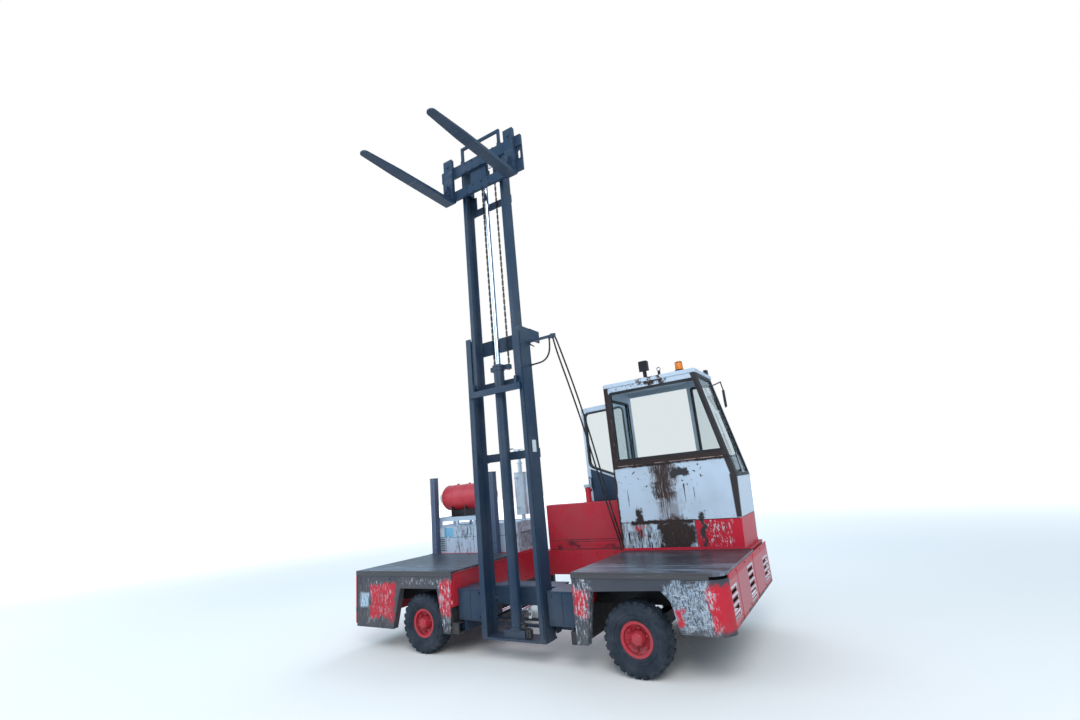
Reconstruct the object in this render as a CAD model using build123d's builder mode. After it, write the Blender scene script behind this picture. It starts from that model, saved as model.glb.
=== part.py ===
from build123d import *
import math
import os

os.makedirs("parts", exist_ok=True)

# Side loader forklift, modelled in millimetres as it parks in the yard: mast run out over the
# load side, forks fully raised, cab door swung open. X runs along the truck towards the cab,
# Y from the load side to the far side, Z up from the ground. While it is built, X is zero in
# the middle of the mast well and Y is zero at the load side's face.

# Driving dimensions of the chassis
rear_end = -2200.0          # engine end
front_end = 2056.0          # cab end
deck_height = 820.0
deck_depth = 1225.0         # load decks, from the load side inwards
deck_plate = 25.0
deck_corner = 125.0         # rounding of the cab end's corner
well_half = 710.0           # half of the mast well's length along X
well_depth = 1740.0
beside_well = 200.0         # from the well's far end to the far side
truck_width = well_depth + beside_well
wall_plate = 20.0
wall_bottom = 480.0
skin = 12.0                 # fender and end panels
fender_inset = 5.0
rear_fender_bottom = 226.0
front_leg_bottom = 232.0
front_fender_bottom = 370.0
sill_flange = 80.0

# Rails for the reach carriage
rail_bottom = 225.0
rail_height = 105.0
rail_depth = 80.0
rail_flange = 12.0
rail_web = 15.0
rail_start = 20.0
rail_end = 1900.0

# Wheels and axles
tyre_radius = 295.0
tyre_width = 180.0
tyre_inset = 25.0           # from the side's face to the tyre
rim_radius = 128.0
rim_lip = 14.0
bead_gap = 0.3
rear_wheel_x = -1170.0
front_wheel_x = 1250.0
spindle_radius = 30.0
bearing_gap = 0.5
kingpin_offset = 170.0      # from the tyre's middle plane inwards
kingpin_radius = 18.0
steer_arm = 150.0
axle_tube = 60.0            # radius of the drive axle's tube
axle_beam = 110.0           # height of the steer axle's beam
axle_seat = 365.0           # height of the faces where axles bolt to the frame

# Cab
cab_wall = 35.0
cab_rear = 710.0
cab_top = 2681.0
cab_roof_plate = 45.0
cab_roof_front = 1788.0
screen_base_x = 2030.0
screen_base_z = 1510.0
cab_foot_x = 1990.0
window_sill = 1785.0
window_head = 2570.0
window_inset = 60.0
glass = 6.0
door_width = 770.0
door_bottom = deck_height + 40.0
door_top = 2584.0
door_plate = 30.0
door_open = 170.0           # degrees from closed
hinge_gap = 8.0

# Hood and what stands on it
hood_rear = -2185.0
hood_front = -745.0
hood_near = deck_depth + 90.0
hood_far = truck_width - 20.0
hood_top = 1170.0
hood_plate = 10.0

# Mast
mast_front = 40.0           # Y of the outer mast's front face
mast_depth = 180.0
mast_half = 368.0
mast_flange = 62.0
mast_plate = 16.0
mast_bottom = 200.0
mast_top = 3255.0
inner_half = 301.0
inner_setback = 18.0        # inner mast's face behind the outer one's
inner_depth = 142.0
inner_plate = 12.0
inner_bottom = 2675.0
inner_top = 5560.0
inner_arch = inner_top + 180.0
barrel_radius = 57.0
barrel_y = 125.0
barrel_top = 2900.0
lift_rod_radius = 30.0
sheave_x = 97.0
sheave_radius = 58.0
sheave_z = inner_top - 120.0
chain_width = 26.0
chain_thick = 12.0
pivot_y = 250.0
pivot_z = 300.0

# Fork carriage and forks, set over towards the cab
side_shift = 55.0
bar_front = -40.0
bar_plate = 35.0
bar_half = 587.0
lower_bar = (inner_top - 570.0, inner_top - 455.0)
upper_bar = (inner_top - 267.0, inner_top - 127.0)
fork_inner = 389.0
fork_width = 125.0
fork_thick = 45.0
fork_bottom = inner_top - 640.0
fork_top = inner_top - 30.0
fork_tip = -1350.0

# Reach cylinder and the hoses between the mast's arm and the chassis
reach_x = -575.0
reach_z = 305.0
hose_diameter = 18.0
hose_rest_x = 645.0
hose_rest_y = (1255.0, 1320.0)

finished = []


def keep(builder, name):
    builder.part.label = name
    finished.append(builder.part)


def block(x, y, z, mode=Mode.ADD):
    """A box between two values on each axis."""
    with Locations(((x[0] + x[1]) / 2, (y[0] + y[1]) / 2, (z[0] + z[1]) / 2)):
        Box(abs(x[1] - x[0]), abs(y[1] - y[0]), abs(z[1] - z[0]), mode=mode)


TURN = {"X": (0, 90, 0), "Y": (90, 0, 0), "Z": (0, 0, 0)}


def rod(axis, start, end, radius, mode=Mode.ADD):
    """A round bar along an axis between two points that differ on that axis alone."""
    middle = tuple((a + b) / 2 for a, b in zip(start, end))
    length = math.dist(start, end)
    with Locations(middle):
        Cylinder(radius, length, rotation=TURN[axis], mode=mode)


def face_xz(y):
    """Plane whose sketch runs along X and Z and is extruded towards the far side."""
    return Plane(origin=(0, y, 0), x_dir=(-1, 0, 0), z_dir=(0, 1, 0))


def face_yz(x):
    """Plane whose sketch runs along Y and Z and is extruded towards the cab end."""
    return Plane(origin=(x, 0, 0), x_dir=(0, 1, 0), z_dir=(1, 0, 0))


def sheet_xz(points, y, thickness, mode=Mode.ADD):
    """A flat plate drawn in X and Z, its near face at y."""
    with BuildSketch(face_xz(y)) as outline:
        with BuildLine():
            Polyline([(-px, pz) for px, pz in points], close=True)
        make_face()
    extrude(outline.sketch, amount=thickness, mode=mode)


def sheet_yz(points, x, thickness, mode=Mode.ADD):
    """A flat plate drawn in Y and Z, its rear face at x."""
    with BuildSketch(face_yz(x)) as outline:
        with BuildLine():
            Polyline(points, close=True)
        make_face()
    extrude(outline.sketch, amount=thickness, mode=mode)


far = truck_width

# Chassis frame: well walls, back beam, lengthwise plates, sills, rails and axle pads
deck_under = deck_height - deck_plate
rear_rail_y = (250.0, 1670.0)       # lengthwise plates between the rear wheels
front_rail_y = (420.0, 1500.0)      # further in, to clear the steered wheels
sill_near = deck_depth + 3.0
frame_rear = rear_end + 20.0
frame_front = front_end - 26.0
back_beam = (well_depth, well_depth + 160.0)
back_beam_top = deck_height - 50.0
pad_half = 60.0
engine_seat = 600.0

with BuildPart() as chassis:
    for side in (-1, 1):
        block((side * well_half, side * (well_half + wall_plate)),
              (deck_plate, well_depth), (wall_bottom, deck_under))
        web = side * (well_half + wall_plate)
        tip = side * (well_half + wall_plate - rail_depth)
        back = web + side * rail_web
        block((web, back), (rail_start, rail_end), (rail_bottom, wall_bottom + wall_plate))
        for low in (rail_bottom, rail_bottom + rail_height - rail_flange):
            block((tip, back), (rail_start, rail_end), (low, low + rail_flange))
        block((tip, back), (rail_start, rail_start + rail_web),
              (rail_bottom, rail_bottom + rail_height))
    outer_wall = well_half + wall_plate
    block((-outer_wall - rail_web, outer_wall + rail_web), back_beam, (wall_bottom, back_beam_top))
    block((-outer_wall - rail_web, outer_wall + rail_web),
          (back_beam[0] + wall_plate, back_beam[1] - wall_plate),
          (wall_bottom + wall_plate, back_beam_top - wall_plate), mode=Mode.SUBTRACT)
    for start, end, plates in ((frame_rear, -outer_wall, rear_rail_y),
                               (outer_wall, frame_front, front_rail_y)):
        for y in (*plates, sill_near):
            block((start, end), (y, y + wall_plate), (wall_bottom, deck_under))
        inner_end = math.copysign(well_half, start)
        sill = (start, inner_end) if start < 0 else (inner_end, end)
        block(sill, (sill_near, far - fender_inset), (deck_under, deck_height))
        block((start + sill_flange, end - sill_flange),
              (sill_near + 140.0, far - sill_flange), (deck_under, deck_height),
              mode=Mode.SUBTRACT)
    for x, plates in ((frame_rear, rear_rail_y), (frame_front - wall_plate, front_rail_y)):
        block((x, x + wall_plate), (plates[0], far - 30.0), (wall_bottom, deck_under))
    for y in rear_rail_y:
        block((rear_wheel_x - pad_half, rear_wheel_x + pad_half),
              (y - 20.0, y + 40.0), (axle_seat, wall_bottom))
    for x in (-1850.0, -1110.0):
        block((x, x + pad_half), (sill_near, rear_rail_y[1]), (engine_seat - 60.0, engine_seat))
    block((front_wheel_x - pad_half, front_wheel_x + pad_half), front_rail_y,
          (wall_bottom, wall_bottom + 70.0))
    block((front_wheel_x - pad_half, front_wheel_x + pad_half),
          (far / 2 - 70.0, far / 2 + 70.0), (axle_seat, wall_bottom))
    block((reach_x - 35.0, reach_x + 35.0), (well_depth, well_depth + 40.0),
          (270.0, wall_bottom + 10.0))
    block((hose_rest_x, well_half + 5.0), hose_rest_y, (deck_under, deck_height))
keep(chassis, "chassis_frame")

# Load decks: plates with a deeper edge along the load side
deck_edge = 50.0
with BuildPart() as rear_deck:
    block((rear_end, -well_half), (0, deck_depth), (deck_under, deck_height))
    block((rear_end, -well_half), (0, deck_plate), (deck_height - deck_edge, deck_under))
keep(rear_deck, "rear_deck")

with BuildPart() as front_deck:
    with BuildSketch(Plane.XY.offset(deck_under)):
        with BuildLine():
            Line((well_half, 0), (front_end - deck_corner, 0))
            TangentArc((front_end - deck_corner, 0), (front_end, deck_corner), tangent=(1, 0))
            Polyline((front_end, deck_corner), (front_end, deck_depth),
                     (well_half, deck_depth), (well_half, 0))
        make_face()
    extrude(amount=deck_plate)
    block((well_half, front_end - deck_corner), (0, deck_plate),
          (deck_height - deck_edge, deck_under))
keep(front_deck, "front_deck")

# Fenders: side plates with a slanted wheel arch and a lip inside it
rear_arch = ((-1586.0, rear_fender_bottom), (-1469.0, 642.0), (-923.0, 650.0),
             (-844.0, rear_fender_bottom))
front_arch = ((818.0, front_leg_bottom), (893.0, 665.0), (1527.0, 685.0), (1600.0, 606.0),
              (1655.0, front_fender_bottom))
fender_slant = 45.0
lip = 70.0
side_end = front_end - deck_corner


def side_plates(outside, top):
    """Rear and front side plate of one side, the arches cut out and lipped."""
    inward = 1 if outside < far / 2 else -1
    near = min(outside, outside + inward * skin)
    lip_near = min(outside, outside + inward * lip)
    rear = ((rear_end + skin, rear_fender_bottom), (rear_end + skin, top), (-well_half, top),
            (-well_half - fender_slant, rear_fender_bottom))
    front = ((side_end, front_fender_bottom), (side_end, top), (well_half, top),
             (well_half, front_leg_bottom))
    sheet_xz([*rear, *reversed(rear_arch)], near, skin)
    sheet_xz([*front, *front_arch], near, skin)
    for arch in (rear_arch, front_arch):
        middle = (arch[0][0] + arch[-1][0]) / 2
        outer = [(px + math.copysign(skin, px - middle), pz + (skin if 0 < i < len(arch) - 1 else 0))
                 for i, (px, pz) in enumerate(arch)]
        sheet_xz([*arch, *reversed(outer)], lip_near, lip)


with BuildPart() as load_side_fenders:
    side_plates(fender_inset, deck_height - deck_edge)
    with BuildSketch(Plane.XY.offset(front_fender_bottom)) as corner:
        with BuildLine():
            Line((side_end, fender_inset), (side_end, fender_inset + skin))
            TangentArc((side_end, fender_inset + skin), (front_end - skin, deck_corner),
                       tangent=(1, 0))
            Line((front_end - skin, deck_corner), (front_end, deck_corner))
            TangentArc((front_end, deck_corner), (side_end, fender_inset), tangent=(0, -1))
        make_face()
    extrude(corner.sketch, amount=deck_height - deck_edge - front_fender_bottom)
keep(load_side_fenders, "load_side_fenders")

with BuildPart() as far_side_fenders:
    side_plates(far - fender_inset, deck_under)
keep(far_side_fenders, "far_side_fenders")

# End panels: louvred openings with slanted slats
end_bottom = deck_height - 420.0
louvre_slat = 8.0
louvre_pitch = 60.0
cab_end_louvres = (             # from Y, to Y, and from, to below the deck
    (134.0, 346.0, 364.0, 114.0),
    (far / 2 - 137.0, far / 2 + 109.0, 390.0, 79.0),
    (far - 338.0, far - 60.0, 367.0, 132.0),
)
rear_end_louvres = (
    (far - 540.0, far - 120.0, 400.0, 60.0),
)


def slats(x, depth, lean, openings):
    """Slanted slats across each opening, seated in its two upright edges."""
    for y0, y1, below0, below1 in openings:
        count = round((below0 - below1) / louvre_pitch)
        pitch = (below0 - below1) / count
        for i in range(count):
            z = deck_height - below0 + pitch * (i + 0.5)
            low, high = z - lean / 2, z + lean / 2
            with BuildSketch(Plane(origin=(0, y0 - 4.0, 0), x_dir=(-1, 0, 0),
                                   z_dir=(0, 1, 0))) as slat:
                with BuildLine():
                    Polyline((-x, low), (-x - depth, high), (-x - depth, high + louvre_slat),
                             (-x, low + louvre_slat), close=True)
                make_face()
            extrude(slat.sketch, amount=y1 - y0 + 8.0)


def end_panel(x, y, z, openings, lean):
    block((x, x + skin), y, z)
    for y0, y1, below0, below1 in openings:
        block((x, x + skin), (y0, y1), (deck_height - below0, deck_height - below1),
              mode=Mode.SUBTRACT)
    slats(x, skin, lean, openings)


with BuildPart() as front_end_panel:
    end_panel(front_end - skin, (deck_corner, far - fender_inset), (end_bottom, deck_under),
              cab_end_louvres, 45.0)
keep(front_end_panel, "front_end_panel")

with BuildPart() as rear_end_panel:
    end_panel(rear_end, (0.0, far), (end_bottom - 140.0, deck_height - deck_edge),
              rear_end_louvres, -45.0)
keep(rear_end_panel, "rear_end_panel")

# Engine: one plain block on its cross members
engine_x = (-1900.0, -1000.0)
engine_y = (hood_near + 85.0, hood_far - 280.0)
engine_top = 1120.0
with BuildPart() as engine_block:
    block(engine_x, engine_y, (engine_seat, engine_top))
keep(engine_block, "engine_block")

# Engine hood: an open-bottomed shell with a slotted patch on its near side
hood_slots = 7
slot_x = (-2140.0, -1990.0)
slot_z = (840.0, 1010.0)
slot_height = 12.0
with BuildPart() as engine_hood:
    block((hood_rear, hood_front), (hood_near, hood_far), (deck_height, hood_top))
    block((hood_rear + hood_plate, hood_front - hood_plate),
          (hood_near + hood_plate, hood_far - hood_plate),
          (deck_height, hood_top - hood_plate), mode=Mode.SUBTRACT)
    for i in range(hood_slots):
        z = slot_z[0] + (slot_z[1] - slot_z[0]) * (i + 0.5) / hood_slots
        block(slot_x, (hood_near, hood_near + hood_plate),
              (z - slot_height / 2, z + slot_height / 2), mode=Mode.SUBTRACT)
keep(engine_hood, "engine_hood")

# Gas bottle lying in a cradle on an angle frame over the hood
bottle_radius = 172.0
bottle_x = (-2100.0, -1290.0)
bottle_y = hood_near + 185.0
bottle_z = 1550.0
dome = 75.0
angle_x = (-2140.0, -1440.0)
angle_y = (bottle_y - 155.0, bottle_y + 155.0)
angle_z = (1235.0, 1290.0)
angle_leg = 40.0
angle_plate = 6.0
cradle_x = (-1900.0, -1640.0)
cradle_rib = 16.0
with BuildPart() as gas_bottle_tray:
    for y, inward in ((angle_y[0], 1), (angle_y[1], -1)):
        block(angle_x, (y, y + inward * angle_plate), angle_z)
        block(angle_x, (y, y + inward * angle_leg), (angle_z[1] - angle_plate, angle_z[1]))
        for x in (angle_x[0] + 30.0, -1800.0, angle_x[1] - 60.0):
            block((x, x + 30.0), (y, y + inward * 30.0), (hood_top, angle_z[0] + 5.0))
    for x in (angle_x[0], angle_x[1] - angle_plate):
        block((x, x + angle_plate), angle_y, angle_z)
    block((cradle_x[0], cradle_x[1]), (angle_y[0] + 5.0, angle_y[1] - 5.0),
          (angle_z[1], angle_z[1] + 8.0))
    for x in (cradle_x[0], cradle_x[1] - cradle_rib):
        block((x, x + cradle_rib), (angle_y[0] + 20.0, angle_y[1] - 20.0),
              (angle_z[1], bottle_z - 90.0))
    rod("X", (bottle_x[0], bottle_y, bottle_z), (bottle_x[1], bottle_y, bottle_z),
        bottle_radius + bead_gap, mode=Mode.SUBTRACT)
keep(gas_bottle_tray, "gas_bottle_tray")

with BuildPart() as gas_bottle:
    with BuildSketch(face_xz(bottle_y)) as half:
        with BuildLine():
            left, right = -bottle_x[0], -bottle_x[1]
            Line((left, bottle_z), (left, bottle_z + 40.0))
            ThreePointArc((left, bottle_z + 40.0), (left - dome * 0.35, bottle_z + 135.0),
                          (left - dome, bottle_z + bottle_radius))
            Line((left - dome, bottle_z + bottle_radius), (right + dome, bottle_z + bottle_radius))
            ThreePointArc((right + dome, bottle_z + bottle_radius),
                          (right + dome * 0.35, bottle_z + 135.0), (right, bottle_z + 40.0))
            Line((right, bottle_z + 40.0), (right, bottle_z))
            Line((right, bottle_z), (left, bottle_z))
        make_face()
    revolve(half.sketch, axis=Axis((0, bottle_y, bottle_z), (1, 0, 0)))
    rod("X", (bottle_x[0] - 35.0, bottle_y, bottle_z), (bottle_x[0] + 5.0, bottle_y, bottle_z), 55.0)
    rod("X", (bottle_x[0] - 70.0, bottle_y, bottle_z), (bottle_x[0], bottle_y, bottle_z), 22.0)
keep(gas_bottle, "gas_bottle")

# Silencer standing on the hood, with its tail pipe and rain cap
silencer_x = -870.0
silencer_y = hood_near + 335.0
silencer_radius = 88.0
silencer_z = (1250.0, 1805.0)
pipe_radius = 28.0
collar_z = 1920.0
collar_radius = 42.0
tail_radius = 24.0
tail_top = 2110.0
with BuildPart() as silencer:
    at = (silencer_x, silencer_y)
    rod("Z", (*at, hood_top), (*at, collar_z), pipe_radius)
    rod("Z", (*at, silencer_z[0]), (*at, silencer_z[1]), silencer_radius)
    rod("Z", (*at, collar_z), (*at, collar_z + 16.0), collar_radius)
    rod("Z", (*at, collar_z), (*at, tail_top), tail_radius)
    rod("Z", (*at, tail_top - 80.0), (*at, tail_top), tail_radius - 4.0, mode=Mode.SUBTRACT)
    block((silencer_x - 60.0, silencer_x + 60.0), (silencer_y - 35.0, silencer_y + 35.0),
          (tail_top, tail_top + 8.0))
keep(silencer, "silencer")

# Stakes at the back of the rear deck
stake = 80.0
stake_top = 1835.0
with BuildPart() as stakes:
    for x in (-2155.0, -1110.0):
        block((x, x + stake), (sill_near, sill_near + stake), (deck_height, stake_top))
keep(stakes, "stakes")

# Side tank on the back beam, between hood and cab
tank_x = (-560.0, cab_rear - 20.0)
tank_y = (well_depth + 5.0, far - fender_inset)
tank_top = 1338.0
filler_x = 40.0
filler_radius = 36.0
tank_slant = 90.0
with BuildPart() as side_tank:
    sheet_xz(((tank_x[0], back_beam_top), (tank_x[0], tank_top), (tank_x[1] - tank_slant, tank_top),
              (tank_x[1], back_beam_top)), tank_y[0], tank_y[1] - tank_y[0])
    fillet(side_tank.edges().filter_by(Axis.X).group_by(Axis.Z)[-1], 15.0)
    middle = (tank_y[0] + tank_y[1]) / 2
    rod("Z", (filler_x, middle, tank_top), (filler_x, middle, tank_top + 190.0), filler_radius)
keep(side_tank, "side_tank")

# Cab, split at its real panels
cab_near = deck_depth
cab_floor = deck_height + 30.0
cab_eave = cab_top - cab_roof_plate
cab_lean = (cab_roof_front - screen_base_x) / (cab_eave - screen_base_z)


def screen_x(z):
    """X of the windscreen's outer face at a height."""
    return screen_base_x + cab_lean * (z - screen_base_z)


cab_outline = ((cab_rear, cab_floor), (cab_rear, cab_eave), (cab_roof_front, cab_eave),
               (screen_base_x, screen_base_z), (cab_foot_x, cab_floor))
pillar = 32.0
side_window = ((cab_rear + window_inset, window_sill), (cab_rear + window_inset, window_head),
               (screen_x(window_head) - pillar, window_head),
               (screen_x(window_sill) - pillar, window_sill))
with BuildPart() as cab_side_panel:
    sheet_xz(cab_outline, cab_near, cab_wall)
    sheet_xz(side_window, cab_near, cab_wall, mode=Mode.SUBTRACT)
keep(cab_side_panel, "cab_side_panel")

door_x = (cab_rear + 35.0, cab_rear + 35.0 + door_width - 20.0)
far_window = ((door_x[1] + 45.0, window_sill - 60.0), (door_x[1] + 45.0, window_head),
              (screen_x(window_head) - pillar, window_head),
              (screen_x(window_sill - 60.0) - pillar, window_sill - 60.0))
hinge_x = cab_rear - 5.0
hinge_y = far + hinge_gap + door_plate / 2
hinge_heights = (1050.0, 1700.0, 2400.0)
hinge_pin = 7.0
hinge_length = 90.0
with BuildPart() as cab_far_panel:
    sheet_xz(cab_outline, far - cab_wall, cab_wall)
    block(door_x, (far - cab_wall, far), (door_bottom, door_top), mode=Mode.SUBTRACT)
    sheet_xz(far_window, far - cab_wall, cab_wall, mode=Mode.SUBTRACT)
    for z in hinge_heights:
        block((hinge_x - 10.0, hinge_x + 10.0), (far - cab_wall, hinge_y), (z, z + hinge_length / 2))
        rod("Z", (hinge_x, hinge_y, z), (hinge_x, hinge_y, z + hinge_length / 2), 12.0)
        rod("Z", (hinge_x, hinge_y, z), (hinge_x, hinge_y, z + hinge_length), hinge_pin)
keep(cab_far_panel, "cab_far_panel")

rear_window = ((cab_near + cab_wall + 70.0, far - cab_wall - 70.0), (window_sill, window_head - 70.0))
with BuildPart() as cab_rear_panel:
    block((cab_rear, cab_rear + cab_wall), (cab_near + cab_wall, far - cab_wall),
          (cab_floor, cab_eave))
    block((cab_rear, cab_rear + cab_wall), *rear_window, mode=Mode.SUBTRACT)
keep(cab_rear_panel, "cab_rear_panel")

with BuildPart() as cab_tub:
    block((cab_rear, cab_foot_x), (cab_near, far), (deck_height, cab_floor))
    front_panel = ((cab_foot_x - cab_wall, cab_floor), (cab_foot_x, cab_floor),
                   (screen_base_x, screen_base_z), (screen_base_x - cab_wall, screen_base_z))
    sheet_xz(front_panel, cab_near + cab_wall, far - cab_near - 2 * cab_wall)
keep(cab_tub, "cab_tub")

with BuildPart() as cab_roof:
    block((cab_rear - 12.0, cab_roof_front + 14.0), (cab_near - 12.0, far + 6.0),
          (cab_eave, cab_top))
    fillet(cab_roof.edges().filter_by(Axis.Z), 25.0)
    fillet(cab_roof.edges().group_by(Axis.Z)[-1], 12.0)
keep(cab_roof, "cab_roof")

pane_gap = 0.3


def inset(pane):
    """The four corners of a pane, drawn in from its opening by the gap."""
    middle_x = sum(p[0] for p in pane) / len(pane)
    middle_z = sum(p[1] for p in pane) / len(pane)
    return [(px + math.copysign(pane_gap, middle_x - px), pz + math.copysign(pane_gap, middle_z - pz))
            for px, pz in pane]


with BuildPart() as cab_glass:
    for pane, y in ((side_window, cab_near + 12.0), (far_window, far - 18.0)):
        sheet_xz(inset(pane), y, glass)
    (ry0, ry1), (rz0, rz1) = rear_window
    block((cab_rear + 12.0, cab_rear + 12.0 + glass), (ry0 + pane_gap, ry1 - pane_gap),
          (rz0 + pane_gap, rz1 - pane_gap))
    foot, head = screen_base_z + pane_gap, cab_eave - pane_gap
    screen = ((screen_x(foot) - 12.0 - glass, foot), (screen_x(foot) - 12.0, foot),
              (screen_x(head) - 12.0, head), (screen_x(head) - 12.0 - glass, head))
    sheet_xz(screen, cab_near + cab_wall + pane_gap,
             far - cab_near - 2 * cab_wall - 2 * pane_gap)
keep(cab_glass, "cab_glass")

# Seat, dashboard and steering wheel inside the cab
seat_x = (930.0, 1370.0)
seat_y = (1390.0, 1790.0)
seat_z = 1290.0
with BuildPart() as seat:
    block((seat_x[0] + 60.0, seat_x[1] - 60.0), (seat_y[0] + 40.0, seat_y[1] - 40.0),
          (cab_floor, seat_z - 110.0))
    block(seat_x, seat_y, (seat_z - 110.0, seat_z))
    sheet_xz(((seat_x[0], seat_z), (seat_x[0] - 60.0, seat_z + 480.0),
              (seat_x[0] + 40.0, seat_z + 480.0), (seat_x[0] + 110.0, seat_z)),
             seat_y[0], seat_y[1] - seat_y[0])
keep(seat, "seat")

with BuildPart() as dashboard:
    sheet_xz(((1760.0, cab_floor), (1700.0, 1330.0), (1860.0, 1400.0), (1930.0, 1330.0),
              (1930.0, cab_floor)), cab_near + 80.0, far - cab_near - 160.0)
    with Locations(Location((1668.0, (seat_y[0] + seat_y[1]) / 2, 1470.0), (0, -35, 0))):
        Cylinder(18.0, 320.0)
        with Locations((0, 0, 160.0)):
            Torus(165.0, 13.0)
            Cylinder(45.0, 30.0)
            Box(330.0, 30.0, 12.0)
keep(dashboard, "dashboard")

# Lamps and beacon on the roof
lamp_y = (cab_near + 25.0, cab_near + 85.0)
beacon_x = 1560.0
beacon_y = cab_near + 275.0
with BuildPart() as roof_fittings:
    block((1195.0, 1235.0), (lamp_y[1] - 20.0, lamp_y[1]), (cab_top, cab_top + 90.0))
    block((1172.0, 1268.0), lamp_y, (cab_top + 85.0, cab_top + 195.0))
    block((1365.0, 1395.0), (lamp_y[1] - 10.0, lamp_y[1]), (cab_top, cab_top + 60.0))
    rod("Z", (beacon_x, beacon_y, cab_top), (beacon_x, beacon_y, cab_top + 60.0), 50.0)
    rod("Z", (beacon_x, beacon_y, cab_top), (beacon_x, beacon_y, cab_top + 150.0), 43.0)
    block((1740.0, 1780.0), (far - 90.0, far - 20.0), (cab_top, cab_top + 70.0))
keep(roof_fittings, "roof_fittings")

# Cab door: made closed against the far side, then swung open about its hinge
door_stile = 65.0
door_pane_top = 2510.0
door_pane = ((door_x[0] + door_stile, 1560.0), (door_x[0] + door_stile, door_pane_top),
             (door_x[1] - door_stile, door_pane_top), (door_x[1] - door_stile, 1790.0))
leaf_x = (hinge_x + 20.0, hinge_x + door_width + 5.0)
leaf_y = hinge_y - door_plate / 2
hinge_axis = Axis((hinge_x, hinge_y, 0), (0, 0, 1))
with BuildPart() as door_closed:
    block(leaf_x, (leaf_y, leaf_y + door_plate), (door_bottom, door_top))
    sheet_xz(door_pane, leaf_y, door_plate, mode=Mode.SUBTRACT)
    for z in hinge_heights:
        strap = (z + hinge_length / 2 + 0.5, z + hinge_length)
        block((hinge_x, leaf_x[0] + 10.0), (hinge_y - 6.0, hinge_y + 6.0), strap)
        rod("Z", (hinge_x, hinge_y, strap[0]), (hinge_x, hinge_y, strap[1]), 12.0)
        rod("Z", (hinge_x, hinge_y, strap[0]), (hinge_x, hinge_y, strap[1]), hinge_pin + 0.5,
            mode=Mode.SUBTRACT)
    block((leaf_x[1] - 60.0, leaf_x[1] - 30.0), (leaf_y + door_plate, leaf_y + door_plate + 35.0),
          (1500.0, 1640.0))
with BuildPart() as cab_door:
    add(door_closed.part.rotate(hinge_axis, door_open))
keep(cab_door, "cab_door")

with BuildPart() as pane_closed:
    sheet_xz(inset(door_pane), hinge_y - glass / 2, glass)
with BuildPart() as door_glass:
    add(pane_closed.part.rotate(hinge_axis, door_open))
keep(door_glass, "door_glass")

# Drive axle under the engine end, rigid on its pads
tyre_inner = tyre_inset + tyre_width
spindle_tip = tyre_inset + 35.0
axle_end = tyre_inner + 10.0
drum_radius = 108.0
drum = 16.0
with BuildPart() as rear_axle:
    x, z = rear_wheel_x, tyre_radius
    rod("Y", (x, axle_end, z), (x, far - axle_end, z), axle_tube)
    rod("Y", (x, spindle_tip, z), (x, far - spindle_tip, z), spindle_radius)
    rod("Y", (x, far / 2 - 85.0, z), (x, far / 2 + 85.0, z), 150.0)
    for y in (axle_end - drum, far - axle_end):
        rod("Y", (x, y, z), (x, y + drum, z), drum_radius)
    for y in rear_rail_y:
        block((x - pad_half, x + pad_half), (y - 20.0, y + 40.0), (z, axle_seat))
keep(rear_axle, "rear_axle")

# Steer axle with a boss for each kingpin
kingpin_y = tyre_inset + tyre_width / 2 + kingpin_offset
boss_radius = 40.0
beam = (tyre_radius - axle_beam / 2, tyre_radius + axle_beam / 2)
beam_start = kingpin_y + boss_radius + 10.0
with BuildPart() as front_axle:
    x = front_wheel_x
    block((x - 50.0, x + 50.0), (beam_start, far - beam_start), beam)
    block((x - 30.0, x + 30.0), (kingpin_y, far - kingpin_y), (beam[0] + 5.0, beam[1] - 5.0))
    for y in (kingpin_y, far - kingpin_y):
        rod("Z", (x, y, beam[0]), (x, y, beam[1]), boss_radius)
        rod("Z", (x, y, beam[0]), (x, y, beam[1]), kingpin_radius + bearing_gap, mode=Mode.SUBTRACT)
    block((x - pad_half, x + pad_half), (far / 2 - 70.0, far / 2 + 70.0), (beam[1], axle_seat))
keep(front_axle, "front_axle")

# Knuckles: kingpin, two eyes, an upright plate, the spindle and a steering arm
eye_gap = 6.0
eye_plate = 20.0
eye_radius = 42.0
link_gap = 0.5                  # between the steering arms and the track rod
upright = (52.0, 72.0)              # distance from the kingpin towards the wheel
arm_z = beam[0] - eye_gap - eye_plate
for side, name in ((1, "knuckle_near"), (-1, "knuckle_far")):
    x = front_wheel_x
    base = kingpin_y if side > 0 else far - kingpin_y
    with BuildPart() as knuckle:
        for low in (beam[1] + eye_gap, arm_z):
            rod("Z", (x, base, low), (x, base, low + eye_plate), eye_radius)
            block((x - eye_radius, x + eye_radius), (base, base - side * upright[1]),
                  (low, low + eye_plate))
        rod("Z", (x, base, arm_z - 8.0), (x, base, beam[1] + eye_gap + eye_plate + 8.0),
            kingpin_radius)
        block((x - 45.0, x + 45.0), (base - side * upright[0], base - side * upright[1]),
              (arm_z, beam[1] + eye_gap + eye_plate))
        tip_y = spindle_tip if side > 0 else far - spindle_tip
        rod("Y", (x, base - side * upright[0], tyre_radius), (x, tip_y, tyre_radius), spindle_radius)
        backing = base - side * upright[1]
        rod("Y", (x, backing, tyre_radius), (x, backing - side * drum, tyre_radius), drum_radius)
        block((x - steer_arm - 25.0, x), (base - 25.0, base + 25.0), (arm_z, arm_z + eye_plate))
    keep(knuckle, name)

with BuildPart() as tie_rod:
    x = front_wheel_x - steer_arm
    top = arm_z - link_gap
    for y in (kingpin_y, far - kingpin_y):
        rod("Z", (x, y, top - 24.0), (x, y, top), 22.0)
    rod("Y", (x, kingpin_y, top - 12.0), (x, far - kingpin_y, top - 12.0), 11.0)
keep(tie_rod, "tie_rod")

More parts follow.
